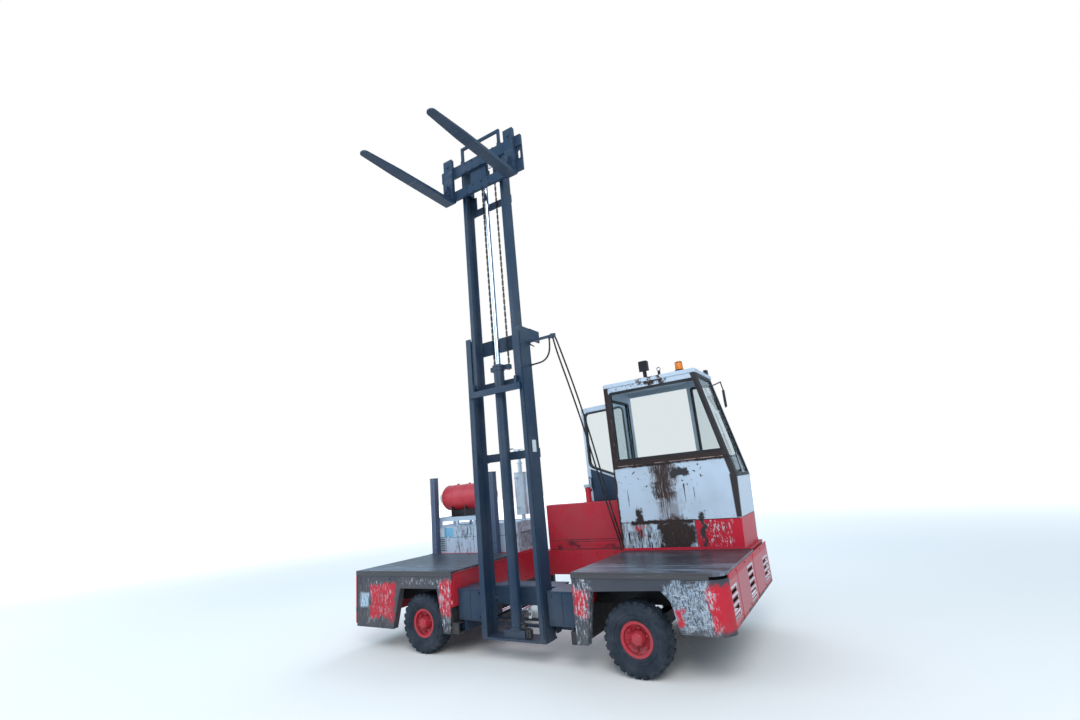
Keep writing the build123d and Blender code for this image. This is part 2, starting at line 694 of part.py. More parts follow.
# Wheels and tyres, turned about their spindles
hub_radius = 65.0
wheel_table = (                 # name, X, side, hub's outer face from the tyre's outer face
    ("rear_near", rear_wheel_x, 1, 4.0),
    ("rear_far", rear_wheel_x, -1, 4.0),
    ("front_near", front_wheel_x, 1, 18.0),
    ("front_far", front_wheel_x, -1, 18.0),
)


def turned(x, side, profile):
    """Ring from a profile of distance inwards and radius, turned about a wheel's axis."""
    start = tyre_inset if side > 0 else far - tyre_inset
    with BuildSketch(face_yz(x)) as section:
        with BuildLine():
            Polyline([(start + side * depth, tyre_radius + radius) for depth, radius in profile],
                     close=True)
        make_face()
    revolve(section.sketch, axis=Axis((x, 0, tyre_radius), (0, 1, 0)))


for name, x, side, hub_face in wheel_table:
    bore = spindle_radius + bearing_gap
    with BuildPart() as wheel:
        turned(x, side, ((24.0, rim_radius + rim_lip), (32.0, rim_radius + rim_lip),
                         (34.0, rim_radius), (tyre_width - 34.0, rim_radius),
                         (tyre_width - 32.0, rim_radius + rim_lip),
                         (tyre_width - 24.0, rim_radius + rim_lip),
                         (tyre_width - 28.0, rim_radius - 10.0), (28.0, rim_radius - 10.0)))
        turned(x, side, ((62.0, rim_radius - 8.0), (76.0, rim_radius - 8.0), (104.0, hub_radius - 4.0),
                         (90.0, hub_radius - 4.0)))
        turned(x, side, ((hub_face + 12.0, 0.0), (hub_face, 0.0), (hub_face, hub_radius * 0.6),
                         (hub_face + 10.0, hub_radius * 0.75), (80.0, hub_radius),
                         (tyre_width - 15.0, hub_radius), (tyre_width - 15.0, bore),
                         (hub_face + 12.0, bore)))
    keep(wheel, "wheel_" + name)
    with BuildPart() as tyre:
        turned(x, side, ((34.0 + bead_gap, rim_radius + bead_gap), (33.0, 150.0), (10.0, 185.0),
                         (2.0, 220.0), (8.0, 262.0), (20.0, 286.0), (34.0, tyre_radius),
                         (tyre_width - 34.0, tyre_radius), (tyre_width - 20.0, 286.0),
                         (tyre_width - 8.0, 262.0), (tyre_width - 2.0, 220.0),
                         (tyre_width - 10.0, 185.0), (tyre_width - 33.0, 150.0),
                         (tyre_width - 34.0 - bead_gap, rim_radius + bead_gap)))
    keep(tyre, "tyre_" + name)

# Reach carriage: runs in the rails and carries the mast's feet and the tilt cylinders
box_x = (390.0, 700.0)
box_y = (90.0, 420.0)
box_z = (345.0, 640.0)
carriage_plate = 15.0
guide_x = (615.0, 640.0)
guide_y = (100.0, 620.0)
guide_bottom = 240.0
tie_z = (235.0, 260.0)
roller_z = rail_bottom + rail_height / 2
roller_radius = 40.0
bracket_x = (376.0, 395.0)
pivot_radius = 20.0
tilt_x = 295.0
tilt_z = 530.0
tilt_pin_y = 497.0
tilt_pin = 12.5
tilt_ears = ((276.0, 286.0), (304.0, 314.0))
tilt_barrel = (320.0, 470.0)
tilt_barrel_radius = 32.0
tilt_rod_radius = 14.0
tilt_eye_play = 3.0
with BuildPart() as reach_carriage:
    for side in (-1, 1):
        box_sides = (side * box_x[0], side * box_x[1])
        block(box_sides, box_y, box_z)
        block((side * (box_x[0] + carriage_plate), side * (box_x[1] - carriage_plate)),
              (box_y[0] + carriage_plate, box_y[1] - carriage_plate),
              (box_z[0] + carriage_plate, box_z[1] - carriage_plate), mode=Mode.SUBTRACT)
        block((side * guide_x[0], side * guide_x[1]), guide_y, (guide_bottom, box_z[0]))
        for y in (150.0, 560.0):
            rod("X", (side * guide_x[1], y, roller_z), (side * 720.0, y, roller_z), 15.0)
            rod("X", (side * 660.0, y, roller_z), (side * 720.0, y, roller_z), roller_radius)
        block((side * bracket_x[0], side * bracket_x[1]), (215.0, 290.0), (250.0, 420.0))
        rod("X", (side * bracket_x[0], pivot_y, pivot_z), (side * bracket_x[1], pivot_y, pivot_z),
            pivot_radius + bearing_gap, mode=Mode.SUBTRACT)
        for ear in tilt_ears:
            block((side * ear[0], side * ear[1]), (tilt_pin_y - 20.0, tilt_pin_y + 20.0),
                  (tilt_z - 25.0, box_z[1] - carriage_plate))
        rod("X", (side * tilt_ears[0][0], tilt_pin_y, tilt_z),
            (side * tilt_ears[1][1], tilt_pin_y, tilt_z), 10.0)
    block((-box_x[0], box_x[0]), (285.0, 520.0), (box_z[1] - carriage_plate, box_z[1]))
    block((-box_x[0], box_x[0]), (300.0, box_y[1]), (box_z[1] - 50.0, box_z[1]))
    block((-guide_x[1], guide_x[1]), (380.0, 420.0), tie_z)
    block((-guide_x[1], guide_x[1]), (590.0, guide_y[1]), tie_z)
keep(reach_carriage, "reach_carriage")

with BuildPart() as tilt_cylinders:
    for side in (-1, 1):
        x = side * tilt_x
        rod("Y", (x, tilt_barrel[0], tilt_z), (x, tilt_barrel[1], tilt_z), tilt_barrel_radius)
        rod("Y", (x, tilt_barrel[0], tilt_z), (x, tilt_barrel[1] - 15.0, tilt_z),
            tilt_rod_radius + bearing_gap, mode=Mode.SUBTRACT)
        block((x - 7.0, x + 7.0), (tilt_barrel[1] - 5.0, tilt_pin_y), (tilt_z - 18.0, tilt_z + 18.0))
        rod("X", (x - 7.0, tilt_pin_y, tilt_z), (x + 7.0, tilt_pin_y, tilt_z), 18.0)
        rod("X", (x - 7.0, tilt_pin_y, tilt_z), (x + 7.0, tilt_pin_y, tilt_z), 10.0 + bearing_gap,
            mode=Mode.SUBTRACT)
keep(tilt_cylinders, "tilt_cylinders")

with BuildPart() as tilt_rods:
    for side in (-1, 1):
        x = side * tilt_x
        rod("X", (x - 6.0, pivot_y, tilt_z), (x + 6.0, pivot_y, tilt_z), 26.0)
        block((x - 6.0, x + 6.0), (pivot_y + 15.0, 292.0), (tilt_z - 12.0, tilt_z + 12.0))
        rod("Y", (x, 284.0, tilt_z), (x, 400.0, tilt_z), tilt_rod_radius)
        rod("X", (x - 15.0, pivot_y, tilt_z), (x + 15.0, pivot_y, tilt_z), tilt_pin + tilt_eye_play,
            mode=Mode.SUBTRACT)
keep(tilt_rods, "tilt_rods")

# Outer mast: two channels, their rear cross plates, the feet and the cylinder's seat
mast_back = mast_front + mast_depth
cross_plate = 16.0
seat_top = 290.0
outer_cross = ((480.0, 645.0), (1885.0, 1969.0), (mast_top - 185.0, mast_top - 20.0))
arm_x = 700.0
arm_top = mast_top - 145.0
arm_size = 25.0
head_plate = (mast_top - 125.0, mast_top + 5.0)
head_plate_end = 427.0
foot_plate = (mast_bottom, mast_bottom + 20.0)
with BuildPart() as outer_mast:
    for side in (-1, 1):
        web = (side * (mast_half - mast_plate), side * mast_half)
        block(web, (mast_front, mast_back), (foot_plate[1], mast_top))
        for y in (mast_front, mast_back - mast_plate):
            block((side * (mast_half - mast_flange), side * mast_half), (y, y + mast_plate),
                  (foot_plate[1], mast_top))
        block(web, (mast_back, 285.0), (260.0, 340.0))
        rod("X", (side * (mast_half - mast_plate), pivot_y, pivot_z),
            (side * 392.0, pivot_y, pivot_z), pivot_radius)
keep(outer_mast, "outer_mast")

with BuildPart() as mast_cross_plates:
    for z in outer_cross:
        block((-mast_half, mast_half), (mast_back, mast_back + cross_plate), z)
    for side in (-1, 1):
        block((side * tilt_ears[0][1], side * tilt_ears[1][0]),
              (mast_back, mast_back + cross_plate), (tilt_z - 35.0, tilt_z + 35.0),
              mode=Mode.SUBTRACT)
        for ear in tilt_ears:
            block((side * ear[0], side * ear[1]), (mast_back + cross_plate, 275.0),
                  (tilt_z - 30.0, tilt_z + 30.0))
        rod("X", (side * tilt_ears[0][0], pivot_y, tilt_z),
            (side * tilt_ears[1][1], pivot_y, tilt_z), tilt_pin)
    block((-mast_half, mast_half), (mast_front, mast_back + cross_plate), foot_plate)
    block((-120.0, 120.0), (70.0, 180.0), (foot_plate[1], seat_top))
    block((mast_half - mast_plate, mast_half), (mast_back + cross_plate, head_plate_end), head_plate)
    block((mast_half, arm_x), (180.0, 180.0 + arm_size), (arm_top - arm_size, arm_top))
keep(mast_cross_plates, "mast_cross_plates")

# Lift cylinder with the chains' anchors at its head, and its rod with the sheaves
cylinder_wall_bottom = 330.0
rod_foot = 2840.0
sheave_half = 16.0
chain_back = (barrel_y + sheave_radius + bead_gap, barrel_y + sheave_radius + bead_gap + chain_thick)
with BuildPart() as lift_cylinder:
    rod("Z", (0, barrel_y, seat_top), (0, barrel_y, barrel_top), barrel_radius)
    rod("Z", (0, barrel_y, barrel_top - 60.0), (0, barrel_y, barrel_top), barrel_radius + 6.0)
    for side in (-1, 1):
        block((side * 40.0, side * (sheave_x + 27.0)), (140.0, 172.0), (2850.0, barrel_top))
        for inner in (sheave_x - 27.0, sheave_x + 19.0):
            block((side * inner, side * (inner + 8.0)), (160.0, 198.0), (2850.0, barrel_top))
    rod("Z", (0, barrel_y, cylinder_wall_bottom), (0, barrel_y, barrel_top),
        lift_rod_radius + bearing_gap, mode=Mode.SUBTRACT)
keep(lift_cylinder, "lift_cylinder")

inner_back = mast_front + inner_setback + inner_depth
with BuildPart() as lift_rod:
    rod("Z", (0, barrel_y, rod_foot), (0, barrel_y, sheave_z), lift_rod_radius)
    block((-60.0, 60.0), (95.0, inner_back - bead_gap), (sheave_z - 40.0, sheave_z + 40.0))
    rod("X", (-(sheave_x + 30.0), barrel_y, sheave_z), (sheave_x + 30.0, barrel_y, sheave_z), 16.0)
    for side in (-1, 1):
        for x0, x1, radius in ((-sheave_half, sheave_half, sheave_radius),
                               (-sheave_half, -sheave_half + 2.5, sheave_radius + 9.0),
                               (sheave_half - 2.5, sheave_half, sheave_radius + 9.0)):
            rod("X", (side * sheave_x + x0, barrel_y, sheave_z),
                (side * sheave_x + x1, barrel_y, sheave_z), radius)
keep(lift_rod, "lift_rod")

with BuildPart() as lift_chains:
    for side in (-1, 1):
        x = side * sheave_x - chain_width / 2
        block((x, x + chain_width), chain_back, (barrel_top - 10.0, sheave_z))
        inside = sheave_radius + bead_gap
        outside = inside + chain_thick
        with BuildSketch(face_yz(x)) as wrap:
            with BuildLine():
                ThreePointArc((barrel_y + outside, sheave_z), (barrel_y, sheave_z + outside),
                              (barrel_y - outside, sheave_z))
                Line((barrel_y - outside, sheave_z), (barrel_y - inside, sheave_z))
                ThreePointArc((barrel_y - inside, sheave_z), (barrel_y, sheave_z + inside),
                              (barrel_y + inside, sheave_z))
                Line((barrel_y + inside, sheave_z), (barrel_y + outside, sheave_z))
            make_face()
        extrude(wrap.sketch, amount=chain_width)
keep(lift_chains, "lift_chains")

# Inner mast: channels, rear cross plates, top arch, guide rollers and the tie below
inner_front = mast_front + inner_setback
inner_flange = 48.0
inner_cross = ((inner_bottom + 15.0, inner_bottom + 70.0),
               (inner_top - 730.0, inner_top - 640.0), (inner_top - 160.0, inner_top - 80.0))
hook_x = (-255.0, -205.0)
hook_top = inner_top - 470.0
tie_bar = (inner_bottom - 100.0, inner_bottom - 35.0)
bracket_top = inner_bottom + 45.0
guide_roller_z = inner_bottom + 80.0
guide_roller = 73.5
with BuildPart() as inner_mast:
    for side in (-1, 1):
        web = side * (inner_half - inner_plate)
        block((web, side * inner_half), (inner_front, inner_back), (inner_bottom, inner_top))
        for y in (inner_front, inner_back - inner_plate):
            block((side * (inner_half - inner_flange), side * inner_half), (y, y + inner_plate),
                  (inner_bottom, inner_top))
        block((side * 262.0, side * 292.0), (inner_front, inner_front + 30.0),
              (inner_top - 60.0, inner_arch))
        block((side * 270.0, side * 300.0), (33.0, inner_front), (inner_bottom + 5.0, bracket_top))
        block((side * 270.0, side * 300.0), (3.0, 33.0), (tie_bar[0], bracket_top))
        rod("X", (side * (inner_half - 5.0), 130.0, guide_roller_z),
            (side * 310.0, 130.0, guide_roller_z), 25.0)
        rod("X", (side * 306.0, 130.0, guide_roller_z), (side * 345.0, 130.0, guide_roller_z),
            guide_roller)
    block((-335.0, 335.0), (3.0, 33.0), tie_bar)
    block((-292.0, 292.0), (inner_front, inner_front + 30.0), (inner_arch - 30.0, inner_arch))
    for z in inner_cross:
        block((-inner_half, inner_half), (inner_back, inner_back + inner_plate), z)
    block(hook_x, (inner_back, inner_back + inner_plate), (inner_cross[1][0], hook_top))
keep(inner_mast, "inner_mast")

# Fork carriage: two bars joined by end plates, roller plates and the chains' lower anchors
bar_y = (bar_front, bar_front + bar_plate)
bar_x = (side_shift - bar_half, side_shift + bar_half)
end_plate = 18.0
end_plate_width = 120.0
side_plate_x = (215.0, 237.0)
carriage_roller = 58.5
carriage_roller_z = (inner_top - 410.0, inner_top - 160.0)
anchor_top = inner_top - 310.0
front_run_y = (50.0, 62.0)
with BuildPart() as fork_carriage:
    for z in (lower_bar, upper_bar):
        block(bar_x, bar_y, z)
    for edge, inward in ((bar_x[0], 1), (bar_x[1], -1)):
        block((edge, edge + inward * end_plate_width), (bar_y[1] - end_plate, bar_y[1]),
              (lower_bar[1], upper_bar[0]))
        with BuildSketch(face_xz(bar_y[1] - end_plate)) as oval:
            with Locations((-edge - inward * 42.0, (lower_bar[1] + upper_bar[0]) / 2)):
                SlotOverall(110.0, 34.0, rotation=90)
        extrude(oval.sketch, amount=end_plate, mode=Mode.SUBTRACT)
    for side in (-1, 1):
        block((side * side_plate_x[0], side * side_plate_x[1]), (bar_y[1], 180.0),
              (lower_bar[0] + 80.0, upper_bar[1] + 40.0))
        for z in carriage_roller_z:
            rod("X", (side * side_plate_x[1], 129.0, z), (side * 284.0, 129.0, z), carriage_roller)
        block((side * (sheave_x - 17.0), side * (sheave_x + 17.0)), (bar_y[1], 75.0),
              (anchor_top - 60.0, anchor_top))
    block((-115.0, 115.0), (bar_y[1], bar_y[1] + 20.0), (lower_bar[1] + 20.0, upper_bar[1]))
keep(fork_carriage, "fork_carriage")

with BuildPart() as carriage_chains:
    for side in (-1, 1):
        x = side * sheave_x
        block((x - chain_width / 2, x + chain_width / 2), front_run_y, (anchor_top, sheave_z - 5.0))
keep(carriage_chains, "carriage_chains")

# Forks: tapered blade, shank hooked on both bars, and a gusset with an oval hole at the heel
gusset = 14.0
tip_taper = 18.0
taper_start = -900.0
for side, name in ((-1, "fork_rear"), (1, "fork_front")):
    start = side_shift + (fork_inner if side > 0 else -fork_inner - fork_width)
    shank = (bar_front - fork_thick, bar_front)
    with BuildPart() as fork:
        sheet_yz(((shank[1], fork_top), (shank[0], fork_top), (shank[0], fork_bottom + 70.0),
                  (shank[0] - 25.0, fork_bottom + fork_thick), (-350.0, fork_bottom + fork_thick),
                  (fork_tip, fork_bottom + 14.0), (fork_tip, fork_bottom),
                  (shank[1] - 30.0, fork_bottom), (shank[1], fork_bottom + 30.0)),
                 start, fork_width)
        with BuildSketch(Plane.XY.offset(fork_bottom)) as plan:
            with BuildLine():
                Polyline((start, 0), (start + fork_width, 0), (start + fork_width, taper_start),
                         (start + fork_width - tip_taper, fork_tip), (start + tip_taper, fork_tip),
                         (start, taper_start), close=True)
            make_face()
        extrude(plan.sketch, amount=fork_top - fork_bottom, mode=Mode.INTERSECT)
        fillet(fork.edges().filter_by(Axis.Z).group_by(Axis.Y)[0], 40.0)
        block((start + 10.0, start + fork_width - 10.0), (shank[1] - 5.0, bar_y[1] - 10.0),
              (upper_bar[1] + bead_gap, upper_bar[1] + 25.0))
        block((start + 10.0, start + fork_width - 10.0), (shank[1] - 5.0, bar_y[1] - 10.0),
              (lower_bar[0] - 22.0, lower_bar[0] - bead_gap))
        sheet_yz(((shank[0], fork_bottom + 40.0), (shank[0], fork_bottom + 250.0),
                  (shank[0] - 30.0, fork_bottom + 250.0), (shank[0] - 120.0, fork_bottom + 40.0)),
                 start + (fork_width - gusset) / 2, gusset)
        with Locations((start + fork_width / 2, shank[0] - 28.0, fork_bottom + 150.0)):
            Cylinder(16.0, gusset, rotation=(0, 90, 0), mode=Mode.SUBTRACT)
    keep(fork, name)

# Reach cylinder under the carriage's rear box, and its rod
reach_radius = 30.0
reach_rod_radius = 18.0
reach_barrel = (900.0, well_depth)
crosshead_y = (262.0, 290.0)
crosshead_half = (32.0, 28.0)       # along X and Z
with BuildPart() as reach_cylinder:
    rod("Y", (reach_x, reach_barrel[0], reach_z), (reach_x, reach_barrel[1], reach_z), reach_radius)
    rod("Y", (reach_x, reach_barrel[0], reach_z), (reach_x, reach_barrel[1] - 60.0, reach_z),
        reach_rod_radius + bearing_gap, mode=Mode.SUBTRACT)
keep(reach_cylinder, "reach_cylinder")

with BuildPart() as reach_rod:
    rod("Y", (reach_x, crosshead_y[0], reach_z), (reach_x, reach_barrel[0] + 150.0, reach_z),
        reach_rod_radius)
    block((reach_x - crosshead_half[0], reach_x + crosshead_half[0]), crosshead_y,
          (reach_z - crosshead_half[1], reach_z + crosshead_half[1]))
keep(reach_rod, "reach_rod")

# Hoses: two from the arm's end down to a rest on the chassis, one from the arm back to the mast
far_hose = ((682, 200, 3062), (682, 264, 3010), (682, 345, 2905), (682, 458, 2722),
            (682, 586, 2490), (682, 706, 2252), (682, 816, 2010), (682, 915, 1770),
            (682, 1006, 1530), (682, 1098, 1305), (682, 1180, 1130), (682, 1244, 1000),
            (682, 1290, 900), (682, 1290, deck_height))
near_hose = ((661, 196, 3055), (661, 236, 2994), (661, 302, 2880), (661, 414, 2682),
             (661, 542, 2450), (661, 664, 2212), (661, 776, 1972), (661, 880, 1735),
             (661, 978, 1500), (661, 1076, 1282), (661, 1160, 1115), (661, 1226, 992),
             (661, 1272, 896), (661, 1272, deck_height))
loop_hose = ((628, 192, arm_top - arm_size), (628, 192, 3000), (608, 192, 2908), (545, 192, 2850),
             (455, 192, 2840), (mast_half, 192, 2840))


def hose(route, name):
    """A tube along straight runs joined by arcs as large as the runs allow."""
    points = [Vector(*point) for point in route]
    runs = [b - a for a, b in zip(points, points[1:])]
    radii = []
    for before, after in zip(runs, runs[1:]):
        half_turn = math.radians(before.get_angle(after) / 2)
        radii.append(0.45 * min(before.length, after.length) / math.tan(half_turn))
    with BuildPart() as tube:
        with BuildLine() as line:
            FilletPolyline(*points, radius=radii)
        with BuildSketch(Plane(origin=points[0], z_dir=runs[0])):
            Circle(hose_diameter / 2)
        sweep()
    length = sum(edge.length for edge in line.edges())
    share = tube.part.volume / (math.pi * (hose_diameter / 2) ** 2 * length)
    print(name, "length", round(length), "radii", [round(r) for r in radii], "volume", round(share, 4))
    keep(tube, name)


hose(far_hose, "hose_far")
hose(near_hose, "hose_near")
hose(loop_hose, "hose_loop")


# Every piece is moved so that the origin lies under the middle of the whole machine
boxes = [piece.bounding_box() for piece in finished]
low = [min(b.min.X for b in boxes), min(b.min.Y for b in boxes)]
high = [max(b.max.X for b in boxes), max(b.max.Y for b in boxes)]
shift = Location((-(low[0] + high[0]) / 2, -(low[1] + high[1]) / 2, 0))
print("shift", shift.position, "from", low, "to", high)
for piece in finished:
    placed = piece.moved(shift)
    placed.label = piece.label
    export_step(placed, f"parts/{piece.label}.step")
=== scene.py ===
import math

import bmesh
import bpy
from bpy.props import FloatProperty, FloatVectorProperty, IntProperty, PointerProperty
from bpy.types import Operator, Panel, PropertyGroup
from mathutils import Matrix, Vector


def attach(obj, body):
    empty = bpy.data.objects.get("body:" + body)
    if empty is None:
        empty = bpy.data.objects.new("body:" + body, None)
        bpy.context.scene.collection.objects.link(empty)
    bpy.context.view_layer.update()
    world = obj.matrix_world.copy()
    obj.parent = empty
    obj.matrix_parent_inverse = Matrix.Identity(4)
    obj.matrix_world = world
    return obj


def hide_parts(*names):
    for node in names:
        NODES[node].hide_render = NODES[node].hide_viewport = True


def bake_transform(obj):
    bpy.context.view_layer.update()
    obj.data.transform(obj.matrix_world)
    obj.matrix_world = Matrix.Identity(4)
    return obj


bl_info = {
    "name": "Side loader forklift",
    "version": (1, 0, 0),
    "blender": (4, 5, 0),
    "location": "View3D > Sidebar > Forklift",
    "description": "Dresses the packed side loader in paint, rust, tread, hoses and trim",
    "category": "Object",
}

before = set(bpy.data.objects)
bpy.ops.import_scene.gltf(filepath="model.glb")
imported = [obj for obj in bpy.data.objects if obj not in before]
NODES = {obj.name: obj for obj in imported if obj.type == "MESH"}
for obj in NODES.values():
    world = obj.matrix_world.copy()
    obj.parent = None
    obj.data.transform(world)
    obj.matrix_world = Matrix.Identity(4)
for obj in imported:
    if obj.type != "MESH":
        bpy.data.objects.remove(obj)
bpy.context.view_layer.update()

# Pieces are drawn in millimetres from the middle of the mast well at the load side's face
WELL = Vector((0.072, -0.381175, 0.0))
DECK = 820.0
FAR_SIDE = 1940.0
CAB_REAR = 710.0
CAB_NEAR = 1225.0
TYRE_RADIUS = 295.0
TYRE_WIDTH = 180.0
TYRE_INSET = 25.0
REAR_WHEEL_X = -1170.0
FRONT_WHEEL_X = 1250.0
WINDOW_SILL = 1785.0
WINDOW_HEAD = 2570.0
ALONG = Vector((1, 0, 0))
ACROSS = Vector((0, 1, 0))
UP = Vector((0, 0, 1))

# Materials by finish, and the record's slot that pieces of a finish belong to
FINISHES = {}
SLOTS = {
    "trim": "black_trim", "mast": "mast_paint", "stake": "mast_paint", "hood": "white_paint",
    "plate": "white_paint", "side": "white_paint", "roof": "white_paint", "pale": "silencer_metal",
    "silver": "silencer_metal", "steel": "silencer_metal", "bottle": "bottle_paint",
    "iron": "axle_iron", "red": "red_paint", "end": "red_paint", "rubber": "tyre_rubber",
    "cloth": "seat_cover", "chain": "chain_steel", "chrome": "rod_chrome", "deck": "deck_steel",
    "fender": "fender_paint", "well": "frame_paint",
}


def at(x, y, z):
    """A place in the frame, from millimetres."""
    return Vector((x, y, z)) / 1000.0 + WELL


# The windscreen leans back from its foot
SCREEN_FOOT_X = 2030.0
SCREEN_FOOT_Z = 1510.0
SCREEN_LEAN = 242.0 / 1126.0


def screen_x(z):
    """X of the windscreen's outer face at a height."""
    return SCREEN_FOOT_X - (z - SCREEN_FOOT_Z) * SCREEN_LEAN


# Mesh drawing

class Shape:
    """A mesh in the making, in millimetres from the middle of the mast well."""

    def __init__(self):
        self.mesh = bmesh.new()

    def place(self, verts, matrix):
        bmesh.ops.transform(self.mesh, matrix=matrix, verts=verts)

    def bevel(self, edges, width, segments=1):
        bmesh.ops.bevel(self.mesh, geom=edges, offset=width, segments=segments, affect="EDGES",
                        profile=0.5, material=-1)

    def block(self, x, y, z, edge=0.0, segments=1):
        """A block between two places on each axis."""
        middle = Vector([(low + high) / 2 for low, high in (x, y, z)])
        size = [abs(high - low) for low, high in (x, y, z)]
        self.turned_block(middle, size, Matrix.Identity(3), edge, segments)

    def turned_block(self, middle, size, turn, edge=0.0, segments=1):
        """A block of a size about its middle, turned by a matrix."""
        verts = bmesh.ops.create_cube(self.mesh, size=1.0)["verts"]
        self.place(verts, Matrix.Translation(middle) @ turn.to_4x4() @ Matrix.Diagonal((*size, 1.0)))
        if edge:
            self.bevel(list({e for v in verts for e in v.link_edges}), edge, segments)

    def bar(self, start, end, radius, sides=20, edge=0.0):
        """A round bar between two places."""
        start, end = Vector(start), Vector(end)
        along = end - start
        verts = bmesh.ops.create_cone(self.mesh, cap_ends=True, cap_tris=False, segments=sides,
                                      radius1=radius, radius2=radius, depth=along.length)["verts"]
        turn = UP.rotation_difference(along).to_matrix().to_4x4()
        self.place(verts, Matrix.Translation((start + end) / 2) @ turn)
        if edge:
            rims = [e for e in {e for v in verts for e in v.link_edges}
                    if abs((e.verts[0].co - e.verts[1].co).dot(along.normalized())) < 0.01]
            self.bevel(rims, edge)

    def bolt(self, foot, push, radius, edge=1.0, sides=6):
        """A bolt head that stands on a face and is pushed out by a vector."""
        self.bar(foot, Vector(foot) + Vector(push), radius, sides, edge)

    def ball(self, middle, radius, squash=(1, 1, 1), rings=10):
        verts = bmesh.ops.create_uvsphere(self.mesh, u_segments=rings * 2, v_segments=rings,
                                          radius=radius)["verts"]
        self.place(verts, Matrix.Translation(middle) @ Matrix.Diagonal((*squash, 1.0)))

    def lathe(self, middle, axis, profile, steps=40, closed=False):
        """A profile of (along, radius) spun about an axis through the middle."""
        before = set(self.mesh.verts)
        verts = [self.mesh.verts.new((radius, 0, along)) for along, radius in profile]
        pairs = list(zip(verts, verts[1:])) + ([(verts[-1], verts[0])] if closed else [])
        edges = [self.mesh.edges.new(pair) for pair in pairs]
        bmesh.ops.spin(self.mesh, geom=verts + edges, cent=(0, 0, 0), axis=(0, 0, 1),
                       angle=math.tau, steps=steps, use_merge=True, use_duplicate=False)
        made = [v for v in self.mesh.verts if v not in before]
        turn = UP.rotation_difference(Vector(axis)).to_matrix().to_4x4()
        self.place(made, Matrix.Translation(middle) @ turn)

    def ring(self, middle, axis, radius, thick, steps=36, sides=8):
        """A round ring of round section."""
        profile = [(thick * math.sin(math.tau * i / sides), radius + thick * math.cos(math.tau * i / sides))
                   for i in range(sides)]
        self.lathe(middle, axis, profile, steps, closed=True)

    def plate(self, points, depth, corner=0.0, border=0.0, segments=4):
        """A flat outline pushed out by a vector; with a border only its rim of that width stays."""
        depth = Vector(depth)
        face = self.mesh.faces.new([self.mesh.verts.new(p) for p in points])
        if corner:
            bmesh.ops.bevel(self.mesh, geom=list(face.verts), offset=corner, segments=segments,
                            affect="VERTICES", profile=0.5, material=-1)
            face = max((f for f in self.mesh.faces if not f.tag), key=lambda f: f.calc_area())
        faces = [face]
        face.normal_update()
        if border:
            faces = bmesh.ops.inset_region(self.mesh, faces=[face], thickness=border,
                                           use_boundary=True, use_even_offset=True)["faces"]
            bmesh.ops.delete(self.mesh, geom=[face], context="FACES_ONLY")
        pushed = bmesh.ops.extrude_face_region(self.mesh, geom=faces)["geom"]
        bmesh.ops.translate(self.mesh, vec=depth, verts=[g for g in pushed
                                                         if isinstance(g, bmesh.types.BMVert)])
        for part in self.mesh.faces:
            part.tag = True

    def make(self, name, finish, body="chassis", slot=None, smooth=35.0):
        """The finished object, riding on a body; the slot argument is not used."""
        bmesh.ops.recalc_face_normals(self.mesh, faces=self.mesh.faces)
        bmesh.ops.transform(self.mesh, matrix=Matrix.Translation(WELL) @ Matrix.Scale(0.001, 4),
                            verts=self.mesh.verts)
        data = bpy.data.meshes.new(name)
        self.mesh.to_mesh(data)
        self.mesh.free()
        data.shade_smooth()
        data.set_sharp_from_angle(angle=math.radians(smooth))
        data.materials.append(FINISHES[finish])
        made = bpy.data.objects.new(name, data)
        bpy.context.scene.collection.objects.link(made)
        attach(made, body)
        slot = slot or SLOTS.get(finish)
        return made


def route_curve(name, points, radius, material):
    """A round hose on one smooth spline along its route's points."""
    data = bpy.data.curves.new(name, "CURVE")
    data.dimensions = "3D"
    data.bevel_depth = radius / 1000.0
    data.bevel_resolution = 3
    data.resolution_u = 8
    spline = data.splines.new("NURBS")
    spline.points.add(len(points) - 1)
    for point, place in zip(spline.points, points):
        point.co = (*at(*place), 1.0)
    spline.use_endpoint_u = True
    spline.order_u = 3
    data.use_fill_caps = True
    made = bpy.data.objects.new(name, data)
    bpy.context.scene.collection.objects.link(made)
    data.materials.append(material)
    return made


# Helpers for node materials

